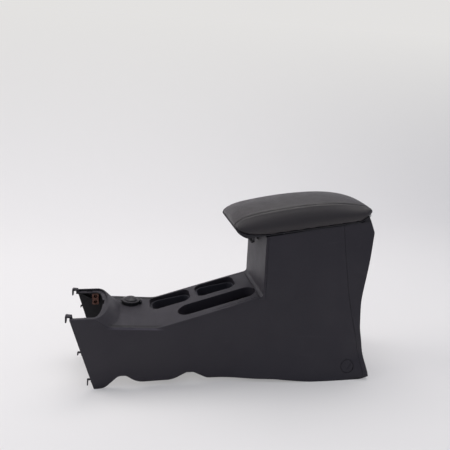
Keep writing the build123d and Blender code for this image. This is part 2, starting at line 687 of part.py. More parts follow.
def build_hinge_bracket():
    """The fixed hinge leaf, screwed to the bin's shelf, with three knuckles."""
    along, above = HINGE_PLACE
    low = above - KNUCKLE_RADIUS
    points = [(HINGE_SCREW_ALONG - 8, -SHELF_DROP), (226, -SHELF_DROP), (237, low), (along, low),
              (along, low + LEAF), (236.1, low + LEAF), (225.1, -SHELF_DROP + LEAF), (HINGE_SCREW_ALONG - 8, -SHELF_DROP + LEAF)]
    base = rim_bar(points, -HINGE_HALF, HINGE_HALF)
    place = rim_point(along, above)
    knuckles = [rod(place, KNUCKLE_RADIUS, *span) for span in KNUCKLES_FIXED]
    gaps = [rod(place, KNUCKLE_RADIUS + 0.6, low_y, high_y) for low_y, high_y in KNUCKLE_GAPS]
    holes = [drilled(plane, SCREW_SHANK + SCREW_CLEARANCE, 6) for plane in hinge_screw_planes(-SHELF_DROP)]
    bore = rod(place, HINGE_PIN_RADIUS + RUNNING_GAP, -HINGE_HALF - 1, HINGE_HALF + 1)
    return base.cut(*solids(*gaps)).fuse(*solids(*knuckles)).cut(*solids(bore, *holes))


def build_lid_leaf():
    """The lid's hinge leaf with two knuckles."""
    along, above = HINGE_PLACE
    top = above + KNUCKLE_RADIUS
    base = rim_slab(LID_LEAF_START, along, top - LEAF, top, -HINGE_HALF + 5, HINGE_HALF - 5)
    place = rim_point(along, above)
    knuckles = [rod(place, KNUCKLE_RADIUS, *span) for span in KNUCKLES_LID]
    gaps = [rod(place, KNUCKLE_RADIUS + 0.6, span[0] - 0.3, span[1] + 0.3) for span in KNUCKLES_FIXED]
    bore = rod(place, HINGE_PIN_RADIUS + RUNNING_GAP, -HINGE_HALF - 1, HINGE_HALF + 1)
    holes = [drilled(plane, SCREW_SHANK + SCREW_CLEARANCE, 6) for plane in lid_hinge_screw_planes()]
    return base.cut(*solids(*gaps)).fuse(*solids(*knuckles)).cut(*solids(bore, *holes))


def lid_hinge_screw_planes():
    """Where the lid's leaf is screwed up into the lid's frame."""
    level = HINGE_PLACE[1] + KNUCKLE_RADIUS - LEAF
    planes = []
    for y in LID_HINGE_SCREW_ROW:
        plane = rim_plane(LID_HINGE_SCREW_ALONG, y, level)
        planes.append(Plane(origin=plane.origin, x_dir=plane.x_dir, z_dir=plane.z_dir * -1))
    return planes


def build_hinge_cover():
    """The wedge over the hinge, between the rim and the back of the lid."""
    outline = [(221, 0.2), (238.6, 11.2), (242.6, 0.2)]
    hollow = [(221, -2.2), (238.0, 8.6), (241.8, -2.2)]
    wedge = rim_bar(outline, -COVER_HALF, COVER_HALF)
    inside = rim_bar(hollow, -COVER_HALF + 2, COVER_HALF - 2)
    over_flange = rim_slab(200, 260, -5, BIN_FLANGE + 0.1, -FLANGE_HALF - 0.3, FLANGE_HALF + 0.3)
    leaf_way = rim_slab(237.4, 250, -5, 9.6, -HINGE_HALF - 1.5, HINGE_HALF + 1.5)
    return wedge.cut(*solids(inside, over_flange, leaf_way))


def under_lid_z(x):
    """Height of the flat of the lid's underside."""
    return BOX_TOP_Z + (x - BOX_FACE_X) * tan(BOX_TOP_RISE) + LID_GAP / cos(BOX_TOP_RISE)


def lid_flank(step, crease):
    """Half the lid's width and its lift at a step up the side: -1 at the flat, 0 at the belly, 1 at the crease."""
    belly = LID_HALF + LID_BULGE
    if step < 0:
        return belly - 2 * LID_BULGE * (1 - cos(pi / 2 * step)), LID_BELLY_UP * (1 + step)
    lift = LID_BELLY_UP + step * (crease - LID_BELLY_UP)
    return belly - (belly - LID_CREASE_HALF) * (1 - cos(pi / 2 * step)), lift


def lid_form():
    """The lid's outer form: a side view carried across, cut to its crown, its sides and its plan."""
    points = [(x, under_lid_z(x) + lift) for x, lift in LID_PROFILE]
    side_view = across(side_outline(points, LID_PROFILE_RADII), -LID_HALF - 8, LID_HALF + 8)
    crown = [[Vector(x, y, under_lid_z(x) + lift - drop * (y / LID_CREASE_HALF) ** 2) for y in LID_STEPS_ACROSS]
             for x, lift, drop in LID_CROWN]
    above = Solid.extrude(Face.make_surface_from_array_of_points(crown, tol=0.05), Vector(0, 0, 150))
    flank = []
    for x, crease in LID_CREASES:
        places = [lid_flank(step, crease) for step in LID_FLANK_STEPS]
        flank.append([Vector(x, half, under_lid_z(x) + up) for half, up in places])
    beside = Solid.extrude(Face.make_surface_from_array_of_points(flank, tol=0.05), Vector(0, 60, 0))
    front, rear, half = LID_PROFILE[2][0] - 0.5, LID_PROFILE[7][0] - 1, LID_HALF + LID_BULGE + 0.5
    plan = [(front, half), (front, -half), (rear, -half), (rear + 3, 0), (rear, half)]
    radii = [LID_CORNER_FRONT, LID_CORNER_FRONT, LID_CORNER_REAR, 0, LID_CORNER_REAR]
    footprint = extrude(Pos(0, 0, 300) * make_face(FilletPolyline(*plan, radius=radii, close=True)), amount=200)
    return (side_view & footprint).cut(*solids(above, beside, beside.mirror(Plane.XZ)))


def lid_split(gap):
    """All above the line where the vinyl cover meets the lower shell."""
    points = [(x, under_lid_z(x) + lift + gap) for x, lift in LID_SPLIT]
    return across(side_polygon(points + [(LID_SPLIT[-1][0], 500), (LID_SPLIT[0][0], 500)]), -120, 120)


def build_lid_shell(form):
    """The hard lower shell of the lid, seen under its front and when it is open."""
    cavity = [(LID_SHELL_FRONT, LID_PLATE), (301, 20), (301, 100), (590, 100), (590, 17), (574, LID_PLATE)]
    cavity_block = across(side_polygon([(x, under_lid_z(x) + lift) for x, lift in cavity]), -80, 80)
    window = across(side_polygon([(338, 300), (357, 300), (357, 380), (338, 380)]), -LATCH_HALF - 1, LATCH_HALF + 1)
    behind = rim_slab(237, 280, -20, 60, -120, 120)
    leaf_way = rim_slab(224, 280, -20, 60, -HINGE_HALF - 1.5, HINGE_HALF + 1.5)
    holes = [countersink(plane) for plane in lid_screw_planes()]
    for plane in bumper_planes():
        holes.append(drilled(plane, BUMPER_STEM + 0.1, 8))
    shell = form - lid_split(0)
    return shell.cut(*solids(cavity_block, window, behind, leaf_way, *holes))


def lid_screw_planes():
    """Where the lower shell is screwed up into the lid's frame."""
    planes = []
    for along in LID_SCREWS_ALONG:
        for y in (-LID_SCREW_Y, LID_SCREW_Y):
            plane = rim_plane(along, y, LID_GAP)
            planes.append(Plane(origin=plane.origin, x_dir=plane.x_dir, z_dir=plane.z_dir * -1))
    return planes


def build_lid_frame():
    """The stiff tray inside the lid, with bosses, ribs and the latch's lugs."""
    top = HINGE_PLACE[1] + KNUCKLE_RADIUS + LID_FRAME_PLATE
    under = top - LID_FRAME_PLATE
    floor = LID_GAP + LID_PLATE
    start, end, half = LID_FRAME_SPAN
    tray = rim_slab(start, end, floor, top, -half, half)
    hollow = rim_slab(start + LID_FRAME_WALL, end + 5, floor - 5, under, -half + LID_FRAME_WALL, half - LID_FRAME_WALL)
    added = []
    for plane in lid_screw_planes():
        boss = Plane(origin=plane.origin, x_dir=plane.x_dir, z_dir=plane.z_dir * -1).offset(LID_PLATE)
        added.append(raised(boss, Circle(SCREW_SHANK + BOSS_WALL), under - floor + 1))
    for y in (-LID_SCREW_Y + 22, LID_SCREW_Y - 22):
        added.append(rim_slab(2, 185, floor + 1.5, under + 1, y - 1, y + 1))
    for plane in lid_hinge_screw_planes():
        up = Plane(origin=plane.origin, x_dir=plane.x_dir, z_dir=plane.z_dir * -1)
        added.append(raised(up.offset(LEAF), Circle(SCREW_SHANK + BOSS_WALL), LID_FRAME_PLATE + 5))
    lug_low, lug_high = LATCH_PIVOT[0] - 5, LATCH_PIVOT[0] + 5
    for side in (-1, 1):
        low, high = sorted((side * (LATCH_HALF + 1.5), side * (LATCH_HALF + 4.5)))
        added.append(rim_slab(lug_low, lug_high, floor, under + 1, low, high))
    holes = [rod(rim_point(*LATCH_PIVOT), LATCH_PIN_RADIUS + 0.05, -40, 40)]
    for plane in lid_screw_planes():
        holes.append(drilled(plane, SCREW_SHANK + 0.05, 13))
    for plane in lid_hinge_screw_planes():
        holes.append(drilled(plane, SCREW_SHANK + 0.05, 9))
    return tray.cut(*solids(hollow)).fuse(*solids(*added)).cut(*solids(*holes))


def build_cushion(form):
    """The foam pad and its vinyl cover, closed down over the lid's frame."""
    top = HINGE_PLACE[1] + KNUCKLE_RADIUS + LID_FRAME_PLATE
    start, end, half = LID_FRAME_SPAN
    room = [rim_slab(start - 0.4, end + 0.4, -20, top + 0.4, -half - 0.4, half + 0.4)]
    room.append(rim_slab(end - 5, 300, -20, top - LID_FRAME_PLATE + 0.6, -HINGE_HALF - 2, HINGE_HALF + 2))
    for plane in lid_hinge_screw_planes():
        up = Plane(origin=plane.origin, x_dir=plane.x_dir, z_dir=plane.z_dir * -1)
        room.append(raised(up.offset(LEAF), Circle(SCREW_SHANK + BOSS_WALL + 0.4), LID_FRAME_PLATE + 6))
    pad = form & lid_split(FIT_GAP)
    return pad.cut(*solids(*room))


def build_latch():
    """The latch lever: a hub, a finger plate in front of the box and a tongue towards the bin."""
    x, z = rim_point(*LATCH_PIVOT)
    foot = z - LATCH_DROP
    plate = [(x - 2.2, z), (x + 2.2, foot + 4.5), (x - 3.4, foot + 2.2), (x - 3.0, foot), (x + 4.6, foot + 2.4), (x + 2.2, z)]
    grip = across(side_polygon(plate), -LATCH_HALF, LATCH_HALF)
    hub = rod((x, z), LATCH_HUB_RADIUS, -LATCH_HALF, LATCH_HALF - LATCH_SPRING_ROOM)
    tongue = across(side_polygon([(x + 3.0, TONGUE_Z - 3), (TONGUE_END_X, TONGUE_Z - 1), (TONGUE_END_X, TONGUE_Z + 2),
                                  (x + 2.4, TONGUE_Z + 2)]), -TONGUE_HALF, TONGUE_HALF)
    bore = rod((x, z), LATCH_PIN_RADIUS + RUNNING_GAP, -LATCH_HALF - 1, LATCH_HALF + 1)
    spring_room = rod((x, z), LATCH_HUB_RADIUS + 0.8, LATCH_HALF - LATCH_SPRING_ROOM, LATCH_HALF + 1)
    return grip.fuse(*solids(hub, tongue)).cut(*solids(bore, spring_room))


def build_latch_spring():
    """A torsion spring on the latch's pin: a coil with two short legs."""
    x, z = rim_point(*LATCH_PIVOT)
    radius = LATCH_PIN_RADIUS + 0.35 + SPRING_WIRE
    height = LATCH_SPRING_ROOM - 2.4
    coil = Helix(pitch=height / 4, height=height, radius=radius)
    section = Plane(origin=coil @ 0, z_dir=coil % 0) * Circle(SPRING_WIRE)
    wire = sweep(section, path=coil)
    base = Plane(origin=(x, LATCH_HALF - 1.2, z), x_dir=(1, 0, 0), z_dir=(0, -1, 0))
    return base.location * wire


def build_striker():
    """The striker plate on the front of the bin, with a lip over the latch's tongue."""
    plate = [(STRIKER_X, 299), (STRIKER_X + 1.5, 299), (STRIKER_X + 1.5, 333), (TONGUE_END_X + 0.6, 333),
             (TONGUE_END_X + 0.6, 331.5), (STRIKER_X, 331.5)]
    body = across(side_polygon(plate), -TONGUE_HALF, TONGUE_HALF)
    holes = [drilled(striker_screw_plane(z, y), SCREW_SHANK + SCREW_CLEARANCE, 5) for z, y in STRIKER_SCREWS]
    return body.cut(*solids(*holes))


def bumper_planes():
    """Where the two rubber bumpers sit under the lid."""
    return [rim_plane(BUMPER_ALONG, side * BUMPER_Y, LID_GAP) for side in (-1, 1)]


def build_bumpers():
    """Two rubber buttons pressed into the lower shell, a little above the bin's flange."""
    buttons = []
    for plane in bumper_planes():
        down = Plane(origin=plane.origin, x_dir=plane.x_dir, z_dir=plane.z_dir * -1)
        head = raised(down, Circle(5.0), LID_GAP - BIN_FLANGE - 0.2)
        buttons.append(head + raised(plane, Circle(BUMPER_STEM), LID_PLATE - 0.2))
    return buttons


def build_cup_insert():
    """The cup insert: two drafted pockets with rims, joined by a bridge, with screw lugs."""
    wholes, hollows = [], []
    for index in (0, 1):
        rim = cup_plane(index, -CUP_WALL)
        flange = RectangleRounded(CUP_LENGTH + 2 * SKIRT_WALL, CUP_WIDTH + 2 * SKIRT_WALL, CUP_CORNER + SKIRT_WALL)
        wholes.append(raised(rim, flange, CUP_WALL))
        length, width = CUP_LENGTH - 2 * CUP_RIM, CUP_WIDTH - 2 * CUP_RIM
        down = Plane(origin=cup_plane(index, 0).origin, x_dir=rim.x_dir, z_dir=rim.z_dir * -1)
        pocket = RectangleRounded(length, width, CUP_CORNER - CUP_RIM)
        around = RectangleRounded(length + 2 * CUP_WALL, width + 2 * CUP_WALL, CUP_CORNER - CUP_RIM + CUP_WALL)
        wholes.append(raised(down, around, CUP_DEPTH + CUP_WALL, CUP_DRAFT))
        hollows.append(raised(down.offset(-1), pocket, CUP_DEPTH + 1, CUP_DRAFT))
    for plane in cup_screw_planes(-CUP_WALL):
        wholes.append(raised(plane, Circle(SCREW_SHANK + BOSS_WALL + 0.6), CUP_WALL))
        centre = min((cup_plane(index, -CUP_WALL) for index in (0, 1)), key=lambda rim: (rim.origin - plane.origin).length)
        towards = (centre.origin - plane.origin).normalized() * CUP_LUG
        lug = Plane(origin=plane.origin + towards * 0.5, x_dir=towards, z_dir=plane.z_dir)
        wholes.append(raised(lug, Rectangle(CUP_LUG, 2 * (SCREW_SHANK + BOSS_WALL)), CUP_WALL))
    end = CUP_LENGTH / 2 + SKIRT_WALL
    front_rim = cup_plane(0, 0).from_local_coords((end - 0.5, 0, -CUP_WALL))
    rear_rim = cup_plane(1, 0).from_local_coords((0.5 - end, 0, -CUP_WALL))
    bridge = [(front_rim.X, front_rim.Z), (rear_rim.X, rear_rim.Z), (rear_rim.X, rear_rim.Z + CUP_WALL - 0.6),
              (front_rim.X, front_rim.Z + CUP_WALL - 0.6)]
    wholes.append(across(side_polygon(bridge), CUP_Y - 20, CUP_Y + 20))
    holes = [drilled(plane, SCREW_SHANK + SCREW_CLEARANCE, 6) for plane in cup_screw_planes(0)]
    first, *rest = solids(*wholes)
    return first.fuse(*rest).cut(*solids(*hollows, *holes))


def build_outlet_bezel():
    """The outlet's sleeve and its grooved collar, with ears for the cap."""
    base = outlet_plane(0)
    sleeve = tube(base.offset(-SLEEVE_LENGTH), SLEEVE_OUTER, SLEEVE_INNER, SLEEVE_LENGTH + 1)
    collar = tube(base, BEZEL_RADIUS, SLEEVE_INNER, BEZEL_HEIGHT)
    grooves = []
    for step in range(BEZEL_GROOVES):
        turn = Rot(0, 0, 360 / BEZEL_GROOVES * (step + 0.5))
        grooves.append(placed(turn * Pos(BEZEL_RADIUS, 0, BEZEL_HEIGHT / 2 + 0.6) * Box(1.4, 1.3, BEZEL_HEIGHT - 2.4), base))
    ears = []
    for low, high in ((-CAP_TAB_WIDTH / 2 - 2.6, -CAP_TAB_WIDTH / 2 - 0.2), (CAP_TAB_WIDTH / 2 + 0.2, CAP_TAB_WIDTH / 2 + 2.6)):
        web = placed(Pos(CAP_REACH - 3, (low + high) / 2, BEZEL_HEIGHT / 2) * Box(6, high - low, BEZEL_HEIGHT), base)
        barrel = placed(Pos(CAP_REACH, low, CAP_HINGE_Z) * Rot(-90, 0, 0)
                        * Cylinder(CAP_KNUCKLE_RADIUS, high - low, align=(Align.CENTER, Align.CENTER, Align.MIN)), base)
        post = placed(Pos(CAP_REACH, (low + high) / 2, CAP_HINGE_Z / 2) * Box(2 * CAP_KNUCKLE_RADIUS, high - low, CAP_HINGE_Z), base)
        ears += [web, barrel, post]
    bore = placed(cap_pin_shape(CAP_PIN_RADIUS + RUNNING_GAP, 2.0), base)
    return sleeve.fuse(*solids(collar, *ears)).cut(*solids(bore, *grooves))


def cap_pin_shape(radius, extra):
    """The cap's pin, or its bore, across the tab at the rear of the outlet."""
    half = CAP_TAB_WIDTH / 2 + 2.6 + extra
    return Pos(CAP_REACH, -half, CAP_HINGE_Z) * Rot(-90, 0, 0) * Cylinder(radius, 2 * half, align=(Align.CENTER, Align.CENTER, Align.MIN))


def build_outlet_cap():
    """The outlet's flip cap: a disc with a raised dome, a finger tab and a hinge knuckle."""
    base = outlet_plane(0)
    low = BEZEL_HEIGHT + FIT_GAP
    top = low + CAP_THICKNESS
    dome = top + 1.2
    bulge = (CAP_DOME_RADIUS ** 2 + CAP_DOME_RISE ** 2) / (2 * CAP_DOME_RISE)
    half_x = CAP_DOME_RADIUS / 2
    half_z = dome + CAP_DOME_RISE - bulge + (bulge ** 2 - half_x ** 2) ** 0.5
    outline = Polyline((0, 0, dome + CAP_DOME_RISE), (0, 0, low), (CAP_RADIUS, 0, low), (CAP_RADIUS, 0, top - 0.6),
                       (CAP_RADIUS - 0.6, 0, top), (CAP_DOME_RADIUS, 0, top), (CAP_DOME_RADIUS, 0, dome))
    arc = ThreePointArc((CAP_DOME_RADIUS, 0, dome), (half_x, 0, half_z), (0, 0, dome + CAP_DOME_RISE))
    disc = revolve(make_face([outline, arc]), Axis.Z, 360)
    finger = Pos(-CAP_REACH / 2 - 5, 0, low) * Box(CAP_REACH - 10, CAP_TAB_WIDTH, CAP_THICKNESS - 0.3, align=(Align.CENTER, Align.CENTER, Align.MIN))
    strap = Pos(CAP_REACH / 2 + 5, 0, low) * Box(CAP_REACH - 10, CAP_TAB_WIDTH, CAP_THICKNESS - 0.3, align=(Align.CENTER, Align.CENTER, Align.MIN))
    knuckle = Pos(CAP_REACH, -CAP_TAB_WIDTH / 2, CAP_HINGE_Z) * Rot(-90, 0, 0) * Cylinder(
        CAP_KNUCKLE_RADIUS, CAP_TAB_WIDTH, align=(Align.CENTER, Align.CENTER, Align.MIN))
    plug = tube(Plane.XY.offset(low - 3.0), SLEEVE_INNER - 0.6, SLEEVE_INNER - 1.8, 3.2)
    whole = disc.fuse(*solids(finger, strap, knuckle, plug)).cut(*solids(cap_pin_shape(CAP_PIN_RADIUS + RUNNING_GAP, 2.0)))
    return placed(whole, base)


def build_socket():
    """The outlet's metal barrel. It is closed at the bottom, with a narrower step round its contact."""
    bottom = outlet_plane(SOCKET_BOTTOM)
    can = raised(bottom, Circle(SOCKET_BORE + SOCKET_WALL), SOCKET_LENGTH)
    step = raised(bottom.offset(SOCKET_FLOOR), Circle(SOCKET_BORE - SOCKET_STEP_WIDTH), SOCKET_LENGTH)
    bore = raised(bottom.offset(SOCKET_FLOOR + SOCKET_STEP), Circle(SOCKET_BORE), SOCKET_LENGTH)
    return can.cut(*solids(step, bore, drilled(bottom, CONTACT_RADIUS + 0.6, 5)))


def build_contact():
    """The outlet's centre contact: a button on a stem, with a flat blade below."""
    bottom = outlet_plane(SOCKET_BOTTOM)
    button = raised(bottom.offset(1.5), Circle(CONTACT_RADIUS + 2.0), 1.6)
    stem = raised(bottom.offset(-2), Circle(CONTACT_RADIUS), 4)
    blade = raised(bottom.offset(-11), Rectangle(6.3, 0.8), 10)
    return button.fuse(*solids(stem, blade))


def build_retainer():
    """The ring that clamps the outlet from below the deck."""
    top = outlet_plane(-WALL)
    ring = tube(top.offset(-RETAINER_HEIGHT), BEZEL_RADIUS - 1.5, SLEEVE_OUTER + 0.1, RETAINER_HEIGHT)
    notches = []
    for step in range(6):
        turn = Rot(0, 0, 60 * step)
        notches.append(placed(turn * Pos(BEZEL_RADIUS - 1.5, 0, -WALL - RETAINER_HEIGHT / 2) * Box(2, 5, RETAINER_HEIGHT + 2),
                              outlet_plane(0)))
    return ring.cut(*solids(*notches))


def build_screw_cover(side, outer):
    """A round snap-in cover over a side screw, with a chord line to lever it by."""
    plane = well_frame(side, outer).offset(-0.3)
    disc = raised(plane.offset(-COVER_THICKNESS), Circle(COVER_RADIUS), COVER_THICKNESS)
    line = raised(plane.offset(-0.5), Rot(0, 0, 55) * Pos(0, -COVER_RADIUS * 0.25) * Rectangle(COVER_RADIUS * 1.9, 0.7), 2)
    legs = tube(plane.offset(-COVER_THICKNESS - 6), WELL_RADIUS - 0.3, WELL_RADIUS - 1.8, 6.2)
    gaps = raised(plane.offset(-COVER_THICKNESS - 7), Rectangle(2 * WELL_RADIUS + 4, 9) + Rectangle(9, 2 * WELL_RADIUS + 4), 6.9)
    return disc.fuse(*solids(legs - gaps)).cut(*solids(line))


def build_connector():
    """The two-way connector that is clipped to the far wall under the collar."""
    length, depth, height = CONNECTOR_SIZE
    x, z = CONNECTOR_PLACE
    wall = half_width(x, z) - WALL - FIT_GAP
    block = fillet(Box(length, depth, height).edges().filter_by(Axis.Y), 2.0)
    holes, pins = [], []
    for step in (-1, 1):
        holes.append(Pos(0, -depth / 2, step * height / 4) * Rot(90, 0, 0) * Cylinder(4.2, 2 * (depth - 3)))
        pins.append(Pos(0, 1.5, step * height / 4) * Rot(90, 0, 0) * Cylinder(1.6, depth - 4))
    body = block.cut(*solids(*holes)).fuse(*solids(*pins))
    return Pos(x, wall - depth / 2 - 0.2, z) * body


def fastened(screw, planes):
    """One screw on each plane, as a group of separate solids."""
    return [solid for plane in planes for solid in placed(screw, plane).solids()]


def cup_screw_seats():
    """Planes under the cup insert's lugs, facing down."""
    return [Plane(origin=plane.origin, x_dir=plane.x_dir, z_dir=plane.z_dir * -1) for plane in cup_screw_planes(-CUP_WALL)]


def build_parts():
    """Every piece by name."""
    outer = body_form(0)
    inner = body_form(WALL)
    lid = lid_form()
    hinge_place, latch_place = rim_point(*HINGE_PLACE), rim_point(*LATCH_PIVOT)
    pin_half = LATCH_HALF + 5
    return {
        "console_body": [build_body(outer, inner)],
        "box_front_panel": [build_front_panel(outer, inner)],
        "rear_cover": [build_rear_cover(outer, inner)],
        "storage_bin": [build_bin()],
        "bin_screws": fastened(flush_screw(11), bin_screw_planes(BIN_SCREWS_FRONT + BIN_SCREWS_REAR, BIN_FLANGE)),
        "hinge_bracket": [build_hinge_bracket()],
        "hinge_screws": fastened(pan_screw(6), hinge_screw_planes(-SHELF_DROP + LEAF)),
        "hinge_pin": [rod(hinge_place, HINGE_PIN_RADIUS, -HINGE_HALF - 1, HINGE_HALF + 1)],
        "hinge_cover": [build_hinge_cover()],
        "lid_hinge_leaf": [build_lid_leaf()],
        "lid_hinge_screws": fastened(pan_screw(8), lid_hinge_screw_planes()),
        "lid_lower_shell": [build_lid_shell(lid)],
        "lid_frame": [build_lid_frame()],
        "lid_cushion": [build_cushion(lid)],
        "lid_screws": fastened(flush_screw(11), lid_screw_planes()),
        "lid_bumpers": build_bumpers(),
        "latch_lever": [build_latch()],
        "latch_pin": [rod(latch_place, LATCH_PIN_RADIUS, -pin_half, pin_half)],
        "latch_spring": [build_latch_spring()],
        "latch_striker": [build_striker()],
        "striker_screws": fastened(pan_screw(4), [striker_screw_plane(z, y) for z, y in STRIKER_SCREWS]),
        "cup_holder_insert": [build_cup_insert()],
        "cup_holder_screws": fastened(pan_screw(8), cup_screw_seats()),
        "outlet_bezel": [build_outlet_bezel()],
        "outlet_socket": [build_socket()],
        "outlet_contact": [build_contact()],
        "outlet_retainer": [build_retainer()],
        "outlet_cap": [build_outlet_cap()],
        "outlet_cap_pin": [placed(cap_pin_shape(CAP_PIN_RADIUS, 0.2), outlet_plane(0))],
        "screw_cover_near": [build_screw_cover(-1, outer)],
        "screw_cover_far": [build_screw_cover(1, outer)],
        "harness_connector": [build_connector()],
    }


for name, pieces in build_parts().items():
    found = [ORIGIN * solid for solid in solids(*pieces)]
    export_step(found[0] if len(found) == 1 else Compound(children=found), f"parts/{name}.step")
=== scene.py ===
"""Looks for a car center console: moulded panels, a vinyl armrest lid, cup liners, a power outlet
and the fastenings. Metres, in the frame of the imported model. Places and sizes of the object's own
forms are named in capitals and given in the drawing's millimetres."""
import json
from math import cos, exp, radians, sin, tan

import bmesh
import bpy
from mathutils import Matrix, Vector
from mathutils.bvhtree import BVHTree
from mathutils.kdtree import KDTree


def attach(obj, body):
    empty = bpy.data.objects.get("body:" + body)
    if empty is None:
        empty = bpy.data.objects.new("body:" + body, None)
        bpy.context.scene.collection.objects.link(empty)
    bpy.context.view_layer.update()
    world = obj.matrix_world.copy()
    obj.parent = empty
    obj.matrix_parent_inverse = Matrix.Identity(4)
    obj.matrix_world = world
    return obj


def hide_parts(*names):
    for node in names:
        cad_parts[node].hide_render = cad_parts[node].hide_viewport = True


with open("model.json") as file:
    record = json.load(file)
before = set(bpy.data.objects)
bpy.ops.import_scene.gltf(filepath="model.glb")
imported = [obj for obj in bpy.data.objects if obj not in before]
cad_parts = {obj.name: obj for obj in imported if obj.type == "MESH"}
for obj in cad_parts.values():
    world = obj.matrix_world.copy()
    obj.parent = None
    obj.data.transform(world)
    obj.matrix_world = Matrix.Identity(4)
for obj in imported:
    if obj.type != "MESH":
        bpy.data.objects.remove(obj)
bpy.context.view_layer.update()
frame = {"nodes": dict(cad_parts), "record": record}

MM = 0.001
# Drawing place of the console's middle, in millimetres from its front foot.
MIDDLE_X = 278.305


def place(x, y, z):
    """A point given in the drawing's millimetres."""
    return Vector(((x - MIDDLE_X) * MM, y * MM, z * MM))


def drawn(point):
    """A scene point in the drawing's millimetres."""
    return point.x / MM + MIDDLE_X, point.y / MM, point.z / MM


def link(obj):
    """Puts a new object in the scene."""
    bpy.context.scene.collection.objects.link(obj)
    return obj


def finished_mesh(obj):
    """A plain mesh of an object as its modifiers leave it."""
    graph = bpy.context.evaluated_depsgraph_get()
    return bpy.data.meshes.new_from_object(obj.evaluated_get(graph))


def smooth_faces(mesh):
    for polygon in mesh.polygons:
        polygon.use_smooth = True


# Materials

# Most of a noise's values lie between these two.
NOISE_SPAN = (0.3, 0.7)
# The colour blend's sockets share their names with its other kinds, so they are taken by number.
BLEND_FIRST, BLEND_SECOND, BLEND_RESULT = 6, 7, 2


